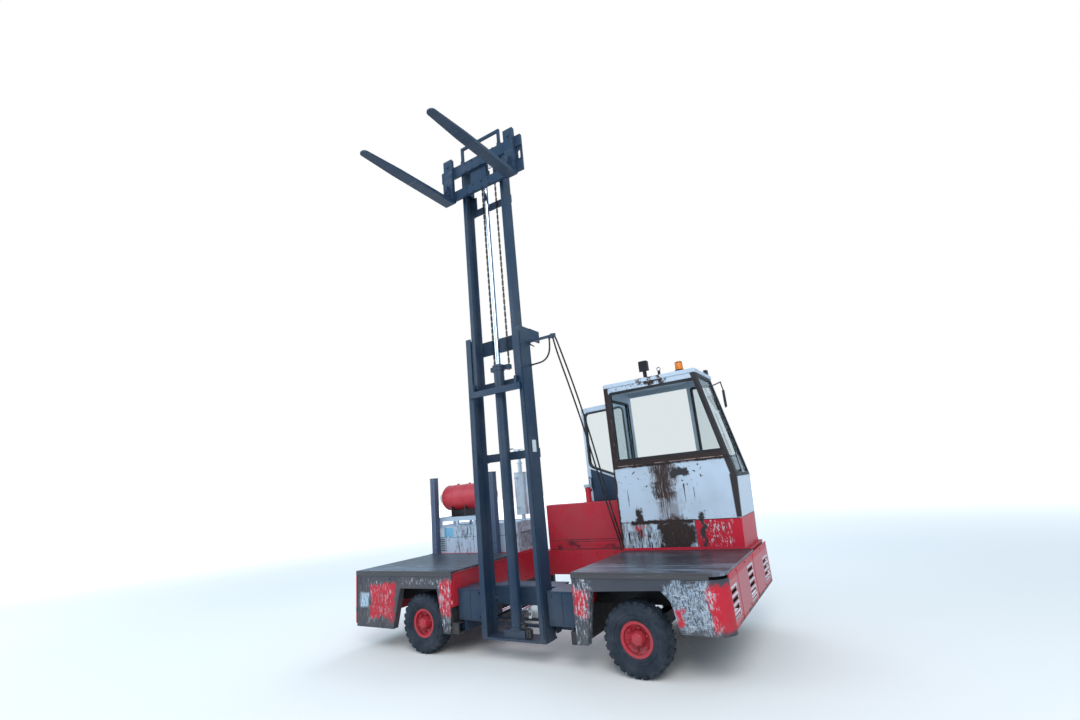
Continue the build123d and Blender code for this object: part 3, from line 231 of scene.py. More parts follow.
class Finish:
    """One node material, built up mask by mask on Object coordinates."""

    def __init__(self, name, roughness=0.5, metallic=0.0):
        self.material = bpy.data.materials.new(name)
        self.material.use_nodes = True
        self.tree = self.material.node_tree
        self.shader = self.tree.nodes["Principled BSDF"]
        self.shader.inputs["Roughness"].default_value = roughness
        self.shader.inputs["Metallic"].default_value = metallic
        self.where = self.node("ShaderNodeTexCoord").outputs["Object"]
        self.axes = self.node("ShaderNodeSeparateXYZ")
        self.link(self.where, self.axes.inputs[0])

    def node(self, kind, **settings):
        made = self.tree.nodes.new(kind)
        for name, value in settings.items():
            setattr(made, name, value)
        return made

    def link(self, source, target):
        self.tree.links.new(source, target)

    def feed(self, value, socket):
        if isinstance(value, bpy.types.NodeSocket):
            self.link(value, socket)
        else:
            socket.default_value = value

    def noise(self, scale, detail=6.0, rough=0.6, stretch=(1, 1, 1), shift=(0, 0, 0)):
        mapping = self.node("ShaderNodeMapping")
        mapping.inputs["Scale"].default_value = stretch
        mapping.inputs["Location"].default_value = shift
        self.link(self.where, mapping.inputs["Vector"])
        noise = self.node("ShaderNodeTexNoise")
        noise.inputs["Scale"].default_value = scale
        noise.inputs["Detail"].default_value = detail
        noise.inputs["Roughness"].default_value = rough
        self.link(mapping.outputs[0], noise.inputs["Vector"])
        return noise.outputs["Fac"]

    def math(self, operation, first, second=0.0, clamp=False):
        step = self.node("ShaderNodeMath", operation=operation, use_clamp=clamp)
        self.feed(first, step.inputs[0])
        self.feed(second, step.inputs[1])
        return step.outputs[0]

    def both(self, first, second):
        return self.math("MULTIPLY", first, second, clamp=True)

    def either(self, first, second):
        return self.math("MAXIMUM", first, second)

    def ramp(self, value, low, high, bottom=0.0, top=1.0):
        """Value going smoothly from bottom to top between low and high."""
        step = self.node("ShaderNodeMapRange", interpolation_type="SMOOTHSTEP")
        self.feed(value, step.inputs["Value"])
        for name, number in (("From Min", low), ("From Max", high), ("To Min", bottom),
                             ("To Max", top)):
            step.inputs[name].default_value = number
        return step.outputs["Result"]

    def mix(self, base, over, mask):
        step = self.node("ShaderNodeMix", data_type="RGBA")
        self.feed(mask, step.inputs[0])
        for colour, socket in ((base, step.inputs[6]), (over, step.inputs[7])):
            self.feed(colour if isinstance(colour, bpy.types.NodeSocket) else (*colour[:3], 1.0),
                      socket)
        return step.outputs[2]

    def span(self, axis, low, high, soft=8.0, wobble=None):
        """Mask between two places on an axis in millimetres, its edges moved by a wobble."""
        index = "XYZ".index(axis)
        value = self.axes.outputs[index]
        low, high, soft = low / 1000 + WELL[index], high / 1000 + WELL[index], soft / 1000
        if wobble is not None:
            value = self.math("ADD", value, wobble)
        rise = self.ramp(value, low - soft, low + soft)
        fall = self.ramp(value, high - soft, high + soft, 1.0, 0.0)
        return self.both(rise, fall)

    def zone(self, soft=8.0, wobble=None, **spans):
        """Mask of a box given as X=(low, high), Y=..., Z=... in millimetres."""
        mask = None
        for axis, (low, high) in spans.items():
            part = self.span(axis, low, high, soft, wobble)
            mask = part if mask is None else self.both(mask, part)
        return mask

    def wobble(self, size, scale=9.0, shift=(5, 2, 1)):
        """Ragged edge: a noise that runs from minus to plus a size in millimetres."""
        return self.ramp(self.noise(scale, 7.0, 0.7, shift=shift), 0.3, 0.7, -size / 1000, size / 1000)

    def height(self):
        """Height over the ground in millimetres."""
        return self.math("MULTIPLY", self.axes.outputs["Z"], 1000.0)

    def along(self):
        """X from the middle of the mast well in millimetres."""
        return self.math("MULTIPLY", self.math("SUBTRACT", self.axes.outputs["X"], WELL.x), 1000.0)

    def finish(self, colour, roughness=None, bump=None, strength=0.2, distance=0.002):
        self.feed(colour, self.shader.inputs["Base Color"])
        if roughness is not None:
            self.link(roughness, self.shader.inputs["Roughness"])
        if bump is not None:
            relief = self.node("ShaderNodeBump")
            relief.inputs["Strength"].default_value = strength
            relief.inputs["Distance"].default_value = distance
            self.link(bump, relief.inputs["Height"])
            self.link(relief.outputs[0], self.shader.inputs["Normal"])
        return self.material


RUST = (0.085, 0.030, 0.015)
DARK_RUST = (0.030, 0.016, 0.013)
DUST = (0.12, 0.10, 0.088)
GRIME = (0.030, 0.028, 0.030)


def worn_paint(name, paint, chips=0.12, streaks=0.2, dirt=0.35, rough=0.45, under=RUST,
               regions=(), dirt_top=900.0, scuffs=0.0):
    """Paint that fades, chips down to rust, runs in streaks and carries dust low down.

    regions lists (colour, mask builder) pairs laid over the paint before the wear."""
    look = Finish(name, rough)
    look.shader.inputs["Specular IOR Level"].default_value = 0.3
    cloud = look.noise(1.7, 5.0, 0.62)
    fine = look.noise(38.0, 8.0, 0.7)
    blotch = look.noise(7.5, 9.0, 0.72, shift=(3.1, 1.7, 0.4))
    run = look.noise(5.0, 6.0, 0.7, stretch=(9.0, 9.0, 0.55))
    faded = tuple(min(1.0, c * 0.78 + 0.03) for c in paint)
    colour = look.mix(paint, faded, look.ramp(cloud, 0.35, 0.7))
    for over, builder in regions:
        colour = look.mix(colour, over, builder(look))
    low = look.ramp(look.height(), 100.0, dirt_top, 1.0, 0.0)
    dusty = look.both(look.math("MULTIPLY", low, dirt * 2.0), look.ramp(blotch, 0.3, 0.75))
    colour = look.mix(colour, DUST, dusty)
    stain = look.both(look.ramp(run, 0.56, 0.78), streaks * 2.2)
    colour = look.mix(colour, tuple(0.6 * u + 0.2 * p for u, p in zip(under, paint)), stain)
    if scuffs:
        scrape = look.noise(3.0, 8.0, 0.75, stretch=(0.6, 7.0, 9.0), shift=(1, 4, 2))
        colour = look.mix(colour, (0.20, 0.20, 0.21), look.both(look.ramp(scrape, 0.55, 0.7), scuffs))
    chip = look.ramp(look.math("ADD", blotch, look.math("MULTIPLY", fine, 0.22)),
                     0.86 - chips, 0.885 - chips)
    colour = look.mix(colour, under, chip)
    roughness = look.math("ADD", look.math("MULTIPLY", fine, 0.18),
                          look.math("ADD", look.math("MULTIPLY", chip, 0.3), rough - 0.1),
                          clamp=True)
    relief = look.math("SUBTRACT", look.math("MULTIPLY", fine, 0.25), chip)
    return look.finish(colour, roughness, relief, 0.25, 0.0015)


def plain_finish(name, colour, rough, metallic=0.0, grain=30.0, vary=0.25, bump=0.15, dust=0.0):
    """An even finish with fine grain, for rubber, cast iron, chrome and trim."""
    look = Finish(name, rough, metallic)
    look.shader.inputs["Specular IOR Level"].default_value = 0.35
    fine = look.noise(grain, 8.0, 0.65)
    broad = look.noise(grain / 9.0, 4.0, 0.6, shift=(0.7, 0.2, 1.9))
    dark = tuple(c * (1.0 - vary) for c in colour)
    light = tuple(min(1.0, c * (1.0 + vary) + 0.01) for c in colour)
    tone = look.mix(dark, light, look.ramp(broad, 0.3, 0.7))
    if dust:
        tone = look.mix(tone, DUST, look.both(look.ramp(broad, 0.4, 0.75), dust))
    return look.finish(tone, look.ramp(fine, 0.2, 0.8, max(0.03, rough - 0.1), rough + 0.1), fine,
                       bump, 0.001)


# Paint regions of single panels: pairs of a colour and what builds its mask

def patch(colour, soft, ragged=None, grain=None, limits=None, **spans):
    """A box of a panel with soft edges.

    ragged gives wobble() for the edges; grain gives noise(), cut between limits, to break it up."""
    def mask(look):
        area = look.zone(soft, look.wobble(*ragged) if ragged else None, **spans)
        return look.both(area, look.ramp(look.noise(*grain), *limits)) if grain else area
    return (colour, mask)


def chip_marks(low, scale, shift, **spans):
    """Small scattered chips on part of a panel."""
    return patch(GRIME, 30, None, (scale, 3, 0.5, (1, 1, 1), shift), (low, low + 0.03), **spans)


def rust_run(look, x=1290, top=1720, bottom=1100, width=120, spread=0.5):
    """Rust that starts at a place on a panel and runs down it, thinning out."""
    run = look.noise(14, 7, 0.75, (2.2, 2.2, 0.22))
    body = look.zone(width * 0.45, look.wobble(width * 0.35, 6, (0, 0, 0)), X=(x - width, x + width))
    drop = look.ramp(look.height(), bottom, top, spread, 1.0)
    inside = look.both(look.both(body, drop), look.ramp(run, 0.36, 0.55))
    return look.both(inside, look.zone(15, Z=(bottom, top)))


def front_strip(look, width=46.0):
    """Dark rusty strip along the windscreen's slope and the panel's front edge."""
    x, z = look.along(), look.height()
    lean = look.math("MULTIPLY", look.math("SUBTRACT", z, SCREEN_FOOT_Z), -SCREEN_LEAN)
    edge = look.math("ADD", lean, SCREEN_FOOT_X)
    above = look.ramp(look.math("SUBTRACT", edge, x), width, width + 14.0, 1.0, 0.0)
    below = look.zone(6, X=(1962, 2100), Z=(1120, 1540))
    return look.either(look.both(above, look.zone(4, Z=(1510, 2640))), below)


def door_lower(look):
    """The dark lower part of the door, below the slanted strip."""
    x, z = look.along(), look.height()
    line = look.math("ADD", look.math("MULTIPLY", x, -0.42), 1765.0)
    under = look.ramp(look.math("SUBTRACT", line, z), -3.0, 3.0)
    return look.both(under, look.zone(3, X=(-5, 640)))


def side_panel_regions(red):
    """Load side of the cab: white over a band of red, worn white and heavy rust."""
    seam = 1115
    frame_rust = (0.036, 0.020, 0.018)
    return (
        patch(red, 4, X=(1540, 2040), Z=(842, seam)),
        patch(red, 10, (30, 9), X=(890, 985), Z=(960, 1090)),
        patch((0.24, 0.25, 0.27), 12, (20,), (20, 8, 0.75, (2, 1, 0.4)), (0.46, 0.54),
              X=(700, 1545), Z=(842, seam)),
        patch((0.55, 0.57, 0.60), 14, (30,), (26, 8, 0.8, (1.6, 1, 0.5), (4, 0, 0)), (0.54, 0.58),
              X=(1600, 1900), Z=(860, seam - 15)),
        patch(GRIME, 14, (30,), (22, 8, 0.8, (2, 1, 0.3), (8, 0, 3)), (0.55, 0.59),
              X=(1590, 1860), Z=(842, seam - 40)),
        patch(DARK_RUST, 30, (60, 6), (24, 8, 0.8, (2.4, 1, 0.3), (2, 4, 4)), (0.30, 0.40),
              X=(1150, 1500), Z=(780, seam + 20)),
        patch((0.055, 0.026, 0.020), 30, (50, 6), (20, 8, 0.8, (2, 1, 0.35), (6, 4, 1)), (0.5, 0.62),
              X=(1180, 1470), Z=(800, seam)),
        patch(DARK_RUST, 20, (60, 5), (22, 8, 0.75, (2.4, 1, 0.35), (7, 1, 2)), (0.50, 0.56),
              X=(800, 1220), Z=(780, 1050)),
        patch(GRIME, 14, (26, 11), X=(1600, 1650), Z=(842, 1190)),
        patch(DARK_RUST, 14, (26, 11), X=(905, 985), Z=(1085, 1250)),
        patch(DARK_RUST, 6, (12, 11), X=(840, 1530), Z=(1085, 1125)),
        (RUST, rust_run),
        patch(DARK_RUST, 30, (60, 8), (26, 8, 0.8, (2.4, 1, 0.22), (3, 2, 5)), (0.38, 0.50),
              X=(1160, 1350), Z=(1330, 1725)),
        patch(RUST, 24, (60, 8), (26, 8, 0.8, (3, 1, 0.14), (5, 2, 8)), (0.50, 0.56),
              X=(1190, 1330), Z=(1120, 1560)),
        patch(GRIME, 12, (30, 12), X=(1370, 1560), Z=(1555, 1650)),
        patch(GRIME, 10, None, (12, 4, 0.6, (3.5, 1, 0.25), (9, 3, 0)), (0.64, 0.67),
              X=(760, 1660), Z=(1085, 1480)),
        chip_marks(0.655, 34, (2, 5, 1), X=(720, 1700), Z=(1420, 1700)),
        chip_marks(0.665, 38, (1, 1, 7), X=(760, 1980), Z=(1090, 1200)),
        patch(DARK_RUST, 5, (8, 14), X=(700, 2060), Z=(1700, 1790)),
        patch((0.30, 0.20, 0.19), 3, None, (9, 6, 0.7), (0.40, 0.55), X=(768, 1990), Z=(1719, 1729)),
        patch(frame_rust, 5, (5,), X=(700, 760), Z=(1700, 2690)),
        patch(frame_rust, 5, (8,), X=(700, 728), Z=(842, 1720)),
        patch(DARK_RUST, 16, (50, 8), X=(1150, 1460), Z=(2585, 2640)),
        chip_marks(0.60, 40, (8, 1, 1), X=(760, 1240), Z=(2580, 2700)),
        ((0.030, 0.022, 0.022), front_strip),
        patch(DARK_RUST, 4, X=(1260, 1560), Z=(seam - 5, seam + 5)),
    )


def fender_regions(red):
    """Load side fenders: dark brown-grey with red and scratched white left in patches."""
    pale = (0.46, 0.50, 0.54)

    def scraped(colour, x, z, low, scale, shift, edge=45):
        grain = (scale, 9, 0.82, (1.7, 1, 0.5), shift)
        return patch(colour, 22, (edge, 7, shift), grain, (low, low + 0.05), X=x, Z=z)

    return (
        scraped((0.10, 0.085, 0.085), (-2180, -720), (240, 760), 0.50, 26, (6, 1, 4)),
        scraped(red, (-1950, -1560), (320, 690), 0.36, 18, (1, 1, 1)),
        scraped(pale, (-2020, -1600), (300, 720), 0.545, 34, (2, 8, 1)),
        scraped((0.05, 0.042, 0.045), (-1980, -1560), (280, 700), 0.565, 30, (7, 8, 3)),
        scraped((0.42, 0.52, 0.62), (-2130, -1990), (430, 580), 0.42, 26, (2, 2, 1), 20),
        scraped(red, (-880, -712), (400, 720), 0.34, 18, (3, 3, 1)),
        scraped(pale, (-900, -725), (240, 760), 0.52, 30, (4, 3, 6)),
        scraped(red, (712, 860), (470, 700), 0.34, 18, (5, 3, 1)),
        scraped(pale, (716, 880), (240, 780), 0.52, 30, (1, 3, 9)),
        scraped((0.30, 0.36, 0.43), (1560, 1900), (390, 740), 0.47, 40, (3, 1, 2), 70),
        patch(pale, 30, (70, 7), (34, 9, 0.8, (0.4, 1, 2.2), (3, 1, 9)), (0.54, 0.58),
              X=(1620, 1890), Z=(380, 700)),
        patch(pale, 10, (14, 9), (30, 9, 0.8, (1.4, 1, 0.8), (3, 3, 9)), (0.55, 0.59),
              X=(-1440, -960), Z=(690, 745)),
        scraped(red, (1650, 1715), (440, 580), 0.36, 18, (1, 6, 1)),
        scraped(red, (1905, 2100), (395, 725), 0.30, 16, (3, 6, 1), 28),
        scraped(pale, (1855, 1960), (380, 725), 0.50, 32, (9, 6, 1)),
    )


class ForkliftColours(PropertyGroup):
    """Paint and metal colours of the truck."""
    white: FloatVectorProperty(name="White", description="Cab and hood paint", subtype="COLOR",
                               size=3, default=(0.50, 0.58, 0.67), min=0, max=1)
    red: FloatVectorProperty(name="Red", description="Faded red bodywork paint", subtype="COLOR",
                             size=3, default=(0.52, 0.010, 0.028), min=0, max=1)
    mast: FloatVectorProperty(name="Mast", description="Dark blue-grey of mast and forks",
                              subtype="COLOR", size=3, default=(0.013, 0.034, 0.068), min=0, max=1)
    fender: FloatVectorProperty(name="Fenders", description="Dusty brown-grey of the fenders",
                                subtype="COLOR", size=3, default=(0.044, 0.048, 0.062), min=0, max=1)
    deck: FloatVectorProperty(name="Decks", description="Scraped dark deck steel",
                              subtype="COLOR", size=3, default=(0.040, 0.036, 0.042), min=0, max=1)


class ForkliftSizes(PropertyGroup):
    """Counts and widths of the trim."""
    lugs: IntProperty(name="Tread lugs", description="Lugs round each shoulder of a tyre",
                      default=26, min=12, max=40)
    nuts: IntProperty(name="Wheel nuts", description="Nuts on each wheel", default=6, min=4, max=10)
    seal: FloatProperty(name="Window rubber", description="Width of the window rubber in mm",
                        default=24.0, min=8.0, max=40.0)
    link: FloatProperty(name="Chain pitch", description="Pitch of the lift chains in mm",
                        default=38.0, min=20.0, max=60.0)


class FORKLIFT_OT_stage(Operator):
    """Camera, floor, world and lamps"""
    bl_idname = "forklift.stage"
    bl_label = "Stage"

    # Name, place in metres, turn in degrees, size, power and tint of each lamp
    cool = (0.70, 0.86, 1.0)
    lamps = (
        ("key_lamp", (6.0, -9.0, 9.0), (48, 0, 34), 7.0, 900.0, (0.92, 0.96, 1.0)),
        ("fill_lamp", (-9.0, -6.0, 6.0), (62, 0, -56), 8.0, 420.0, cool),
        ("back_lamp", (-3.0, 9.0, 8.0), (-52, 0, 18), 7.0, 420.0, cool),
    )

    def execute(self, context):
        scene = context.scene
        scene.view_settings.view_transform = "Standard"
        self.camera(scene)
        self.backdrop(scene)
        self.floor(scene)
        for name, place, turn, size, power, tint in self.lamps:
            lamp_data = bpy.data.lights.new(name, "AREA")
            lamp_data.energy = power
            lamp_data.size = size
            lamp_data.color = tint
            lamp = bpy.data.objects.new(name, lamp_data)
            lamp.location = place
            lamp.rotation_euler = [math.radians(angle) for angle in turn]
            scene.collection.objects.link(lamp)
        return {"FINISHED"}

    def camera(self, scene):
        """Camera at the photograph's place, as fitted to its straight edges."""
        camera_data = bpy.data.cameras.new("camera")
        camera_data.sensor_width = 36.0
        camera_data.lens = 16.667
        camera_data.clip_end = 400.0
        camera = bpy.data.objects.new("camera", camera_data)
        camera.location = Vector((3.116, -4.166, 1.583)) + WELL
        camera.rotation_euler = (math.radians(104.260), math.radians(5.215), math.radians(32.373))
        scene.collection.objects.link(camera)
        scene.camera = camera

    def backdrop(self, scene):
        """Soft cool light all round, with white behind the object."""
        world = bpy.data.worlds.new("studio")
        world.use_nodes = True
        scene.world = world
        nodes, links = world.node_tree.nodes, world.node_tree.links
        glow = nodes["Background"]
        glow.inputs["Color"].default_value = (0.60, 0.80, 1.0, 1.0)
        glow.inputs["Strength"].default_value = 0.85
        seen = nodes.new("ShaderNodeBackground")
        seen.inputs["Color"].default_value = (1.0, 1.0, 1.0, 1.0)
        path = nodes.new("ShaderNodeLightPath")
        either = nodes.new("ShaderNodeMath")
        either.operation = "MAXIMUM"
        links.new(path.outputs["Is Camera Ray"], either.inputs[0])
        links.new(path.outputs["Is Transmission Ray"], either.inputs[1])
        blend = nodes.new("ShaderNodeMixShader")
        links.new(either.outputs[0], blend.inputs[0])
        links.new(glow.outputs[0], blend.inputs[1])
        links.new(seen.outputs[0], blend.inputs[2])
        links.new(blend.outputs[0], nodes["World Output"].inputs["Surface"])

    def floor(self, scene):
        """A wide round floor."""
        ground = Shape()
        bmesh.ops.create_circle(ground.mesh, cap_ends=True, radius=90000.0, segments=64)
        floor_data = bpy.data.meshes.new("floor")
        bmesh.ops.scale(ground.mesh, vec=(0.001, 0.001, 0.001), verts=ground.mesh.verts)
        ground.mesh.to_mesh(floor_data)
        ground.mesh.free()
        floor = bpy.data.objects.new("floor", floor_data)
        scene.collection.objects.link(floor)
        floor_data.materials.append(floor_finish())


def floor_finish():
    """Pale floor that turns into the white backdrop far out."""
    look = Finish("floor_look", 0.9)
    x, y = look.axes.outputs["X"], look.axes.outputs["Y"]
    squares = look.math("ADD", look.math("MULTIPLY", x, x), look.math("MULTIPLY", y, y))
    far_out = look.ramp(look.math("SQRT", squares), 6.0, 26.0)
    look.finish((0.92, 0.84, 0.77, 1.0))
    look.shader.inputs["Emission Color"].default_value = (1.0, 1.0, 1.0, 1.0)
    look.link(far_out, look.shader.inputs["Emission Strength"])
    return look.material


class FORKLIFT_OT_hoses(Operator):
    """Hoses of the mast, first of all that is made"""
    bl_idname = "forklift.hoses"
    bl_label = "Hoses"

    # X of each long hose and its route's Y and Z, from the mast's head down to the chassis
    long_hoses = {
        "hose_far": (682, (
            (206, 3094), (236, 3078), (276, 3018), (345, 2905), (458, 2722), (586, 2490), (706, 2252),
            (816, 2010), (915, 1770), (1006, 1530), (1098, 1305), (1180, 1130), (1244, 1000),
            (1290, 900), (1290, 820))),
        "hose_near": (661, (
            (206, 3090), (222, 3062), (246, 2994), (302, 2880), (414, 2682), (542, 2450), (664, 2212),
            (776, 1972), (880, 1735), (978, 1500), (1076, 1282), (1160, 1115), (1226, 992),
            (1272, 896), (1272, 820))),
    }
    loop_route = ((628, 192, 3085), (628, 192, 3000), (608, 192, 2908), (545, 192, 2850),
                  (455, 192, 2840), (368, 192, 2840))
    # The point of a long hose's route before the place where its two runs meet
    joint = 4

    def execute(self, context):
        rubber = plain_finish("hose_rubber", (0.012, 0.013, 0.016), 0.5, grain=90.0, dust=0.3)
        for name, (x, bends) in self.long_hoses.items():
            route = [(x, *bend) for bend in bends]
            middle = tuple((a + b) / 2 for a, b in zip(route[self.joint], route[self.joint + 1]))
            top = self.run(name + "_top_run", (*route[:self.joint + 1], middle), rubber)
            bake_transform(top)
            low = self.run(name + "_run", (middle, *route[self.joint + 1:]), rubber)
            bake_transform(low)
            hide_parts(name)
        loop = route_curve("hose_loop_run", self.loop_route, 9.0, rubber)
        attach(loop, "mast")
        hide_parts("hose_loop")
        return {"FINISHED"}

    def run(self, name, route, rubber):
        """Part of a long hose, as a round tube along its route."""
        line = route_curve(name + "_line", route, 0.0, rubber)
        points = bpy.data.meshes.new_from_object(line)
        line.data.bevel_depth = 0.009
        bpy.context.view_layer.update()
        tube = bpy.data.objects.new(name, bpy.data.meshes.new_from_object(line))
        bpy.context.scene.collection.objects.link(tube)
        bpy.data.objects.remove(line)
        bpy.data.meshes.remove(points)
        tube.data.shade_smooth()
        tube.data.materials.clear()
        tube.data.materials.append(rubber)
        return tube


class FORKLIFT_OT_paint(Operator):
    """Paint, rust, rubber and glass on the CAD nodes"""
    bl_idname = "forklift.paint"
    bl_label = "Paint"

    # Which CAD nodes get which finish
    nodes = {
        "hood": "engine_hood", "side": "cab_side_panel", "white": "cab_far_panel cab_rear_panel",
        "roof": "cab_roof", "door": "cab_door", "screen_panel": "cab_tub", "well": "chassis_frame",
        "end": "front_end_panel rear_end_panel", "tank": "side_tank", "bottle": "gas_bottle",
        "tray": "gas_bottle_tray", "stake": "stakes", "silver": "silencer",
        "mast": "outer_mast mast_cross_plates inner_mast fork_carriage lift_cylinder reach_carriage"
                " tilt_cylinders reach_cylinder",
        "fork": "fork_rear fork_front", "fender": "load_side_fenders far_side_fenders",
        "deck": "rear_deck front_deck", "chrome": "lift_rod tilt_rods reach_rod",
        "iron": "engine_block rear_axle front_axle knuckle_near knuckle_far tie_rod lift_chains"
                " carriage_chains",
        "trim": "dashboard roof_fittings", "glass": "cab_glass door_glass",
    }

    def execute(self, context):
        colours = context.scene.forklift_colours
        self.body_paints(colours.red, colours.white)
        self.dark_paints(colours)
        self.plain_finishes()
        for finish, names in self.nodes.items():
            for name in names.split():
                wear(name, FINISHES[finish])
        for name in NODES:
            if name.startswith("wheel_"):
                wear(name, FINISHES["red"])
        return {"FINISHED"}

    def body_paints(self, red, white):
        """White and red of cab, hood, tank, chassis and end panels, with near-black painted shade in the
        chassis's recesses and behind the end panel's face.
        """
        # Near-black standing for the shade under the decks, in the wheel arches and behind the end panel's
        # face: painted shade
        painted_shade = (0.012, 0.013, 0.018)
        FINISHES.update({
            "white": worn_paint("white_paint", white, 0.03, 0.10, 0.05),
            "side": worn_paint("side_panel_paint", white, 0.02, 0.03, 0.03,
                               regions=side_panel_regions(red)),
            "hood": worn_paint("hood_paint", white, 0.02, 0.05, 0.05, regions=(
                patch(DARK_RUST, 40, (80, 6), (20, 8, 0.8, (2.2, 2.2, 0.3), (2, 1, 4)), (0.50, 0.58),
                      X=(-1790, -1500), Z=(850, 1180)),
                patch(RUST, 20, None, (16, 8, 0.8, (3, 3, 0.12), (6, 1, 4)), (0.60, 0.66),
                      X=(-1500, -760), Z=(840, 1165)),
                patch((0.20, 0.44, 0.62), 3, X=(-2180, -1830), Y=(1300, 1320), Z=(1030, 1150)),
                patch((0.20, 0.17, 0.15), 20, (40,), (18, 9, 0.8), (0.42, 0.55), X=(-760, -740)))),
            "roof": worn_paint("roof_paint", white, 0.06, 0.10, 0.0, regions=(
                patch(RUST, 12, (60, 8), X=(1130, 1420), Y=(1200, 1240)),)),
            "screen_panel": worn_paint("tub_white_over_red", red, 0.02, 0.03, 0.05, regions=(
                patch(white, 3, Z=(1120, 1600)),)),
            "red": worn_paint("red_paint", red, 0.04, 0.02, 0.22),
            "tank": worn_paint("tank_paint", red, 0.04, 0.02, 0.12, regions=(
                patch((0.085, 0.012, 0.020), 30, (70, 3), (3, 7, 0.7, (1, 1, 2), (4, 1, 3)),
                      (0.42, 0.62), X=(-440, 560), Z=(788, 848)),)),
            "well": worn_paint("chassis_paint", red, 0.03, 0.02, 0.25, regions=(
                # The chassis's lower band and the insides of its wheel arches go near-black: painted shade
                patch((0.016, 0.017, 0.022), 4, Z=(200, 470)),
                patch(painted_shade, 3, X=(735, 2100), Z=(200, 790)),
                patch(painted_shade, 3, X=(-2300, -735), Z=(200, 790)))),
            "end": worn_paint("end_panel_paint", red, 0.04, 0.03, 0.12, regions=(
                # Behind its outer face the end panel goes near-black: painted shade
                patch(painted_shade, 1, X=(2000, 2045.5)),
                ((0.66, 0.70, 0.74), lambda k: k.both(k.zone(1.5, X=(2049, 2055.2)),
                                                      k.zone(2, Z=(428, 742)))),
                patch(DARK_RUST, 4, None, (9,), (0.4, 0.55), Z=(380, 425)))),
            "tray": worn_paint("tray_paint", white, 0.06, 0.15, 0.0, regions=(
                patch(GRIME, 3, Z=(1291, 1600)),)),
            "bottle": worn_paint("bottle_paint", (0.62, 0.03, 0.045), 0.02, 0.03, 0.0, 0.35),
        })

    def dark_paints(self, colours):
        """Blue-grey and brown-grey of mast, forks, door, fenders, decks and stakes; the decks also carry
        painted sheen and a painted shadow line.
        """
        mast = colours.mast
        FINISHES.update({
            "door": worn_paint("door_paint", colours.white, 0.03, 0.05, 0.0, regions=(
                (tuple(mast), door_lower),)),
            "mast": worn_paint("mast_paint", mast, 0.02, 0.02, 0.10, 0.42, under=DARK_RUST,
                               dirt_top=700.0),
            "fork": worn_paint("fork_paint", mast, 0.05, 0.0, 0.0, 0.42, scuffs=0.35),
            "fender": worn_paint("fender_paint", colours.fender, 0.05, 0.06, 0.25, 0.6, under=DARK_RUST,
                                 regions=fender_regions(colours.red)),
            "deck": worn_paint("deck_paint", colours.deck, 0.06, 0.0, 0.0, 0.36, under=DARK_RUST,
                               scuffs=0.7, regions=(
                # Bluish cloud on the deck steel: painted reflection of the sky, as sheen
                ((0.085, 0.095, 0.115), lambda k: k.ramp(
                    k.noise(1.6, 7, 0.7, (0.5, 1.6, 1), (2, 2, 2)), 0.44, 0.66)),
                ((0.055, 0.036, 0.030), lambda k: k.ramp(
                    k.noise(2.6, 8, 0.75, (0.7, 1.4, 1), (5, 1, 2)), 0.54, 0.68)),
                # Pale bluish streaks near the front edge: scraped steel with painted sheen
                patch((0.24, 0.29, 0.36), 60, (90, 3), (7, 9, 0.8, (0.3, 3, 1), (2, 6, 2)),
                      (0.50, 0.62), Y=(40, 420)),
                # Flat grey on the deck's front edge: painted shadow line
                patch((0.062, 0.058, 0.062), 3, Y=(-10, 6)))),
            "stake": worn_paint("stake_paint", (0.075, 0.10, 0.17), 0.05, 0.25, 0.0, 0.5),
        })

    def plain_finishes(self):
        """Iron, steel, chrome, rubber, trim, cloth, plates and glass."""
        FINISHES.update({
            "iron": plain_finish("dirty_iron", (0.02, 0.019, 0.02), 0.7, dust=0.5),
            "chrome": plain_finish("chrome", (0.72, 0.74, 0.78), 0.14, 1.0, bump=0.02, vary=0.05),
            "steel": plain_finish("bare_steel", (0.30, 0.31, 0.33), 0.42, 1.0),
            "rubber": plain_finish("tyre_rubber", (0.010, 0.018, 0.030), 0.7, grain=60.0, dust=0.12),
            "trim": plain_finish("black_trim", (0.010, 0.010, 0.012), 0.5),
            "silver": plain_finish("silencer_metal", (0.55, 0.60, 0.66), 0.38, 0.75, vary=0.1),
            "cloth": plain_finish("seat_cloth", (0.018, 0.018, 0.022), 0.95, grain=160.0, bump=0.4),
            "amber": plain_finish("beacon_amber", (0.75, 0.20, 0.01), 0.2, vary=0.1),
            "plate": plain_finish("blank_plate", (0.62, 0.66, 0.70), 0.4, vary=0.08),
            "chain": plain_finish("chain_steel", (0.045, 0.040, 0.038), 0.5, 0.7, grain=80.0),
            "pale": plain_finish("pale_metal", (0.42, 0.55, 0.58), 0.45, 0.3),
        })
        glass = Finish("window_glass", 0.04)
        glass.shader.inputs["Transmission Weight"].default_value = 1.0
        glass.shader.inputs["IOR"].default_value = 1.12
        FINISHES["glass"] = glass.finish((0.72, 0.78, 0.80, 1.0))


def wear(node, material):
    """Gives a CAD node its finish."""
    slots = NODES[node].material_slots
    for slot in slots:
        slot.material = material
    if not slots:
        NODES[node].data.materials.append(material)


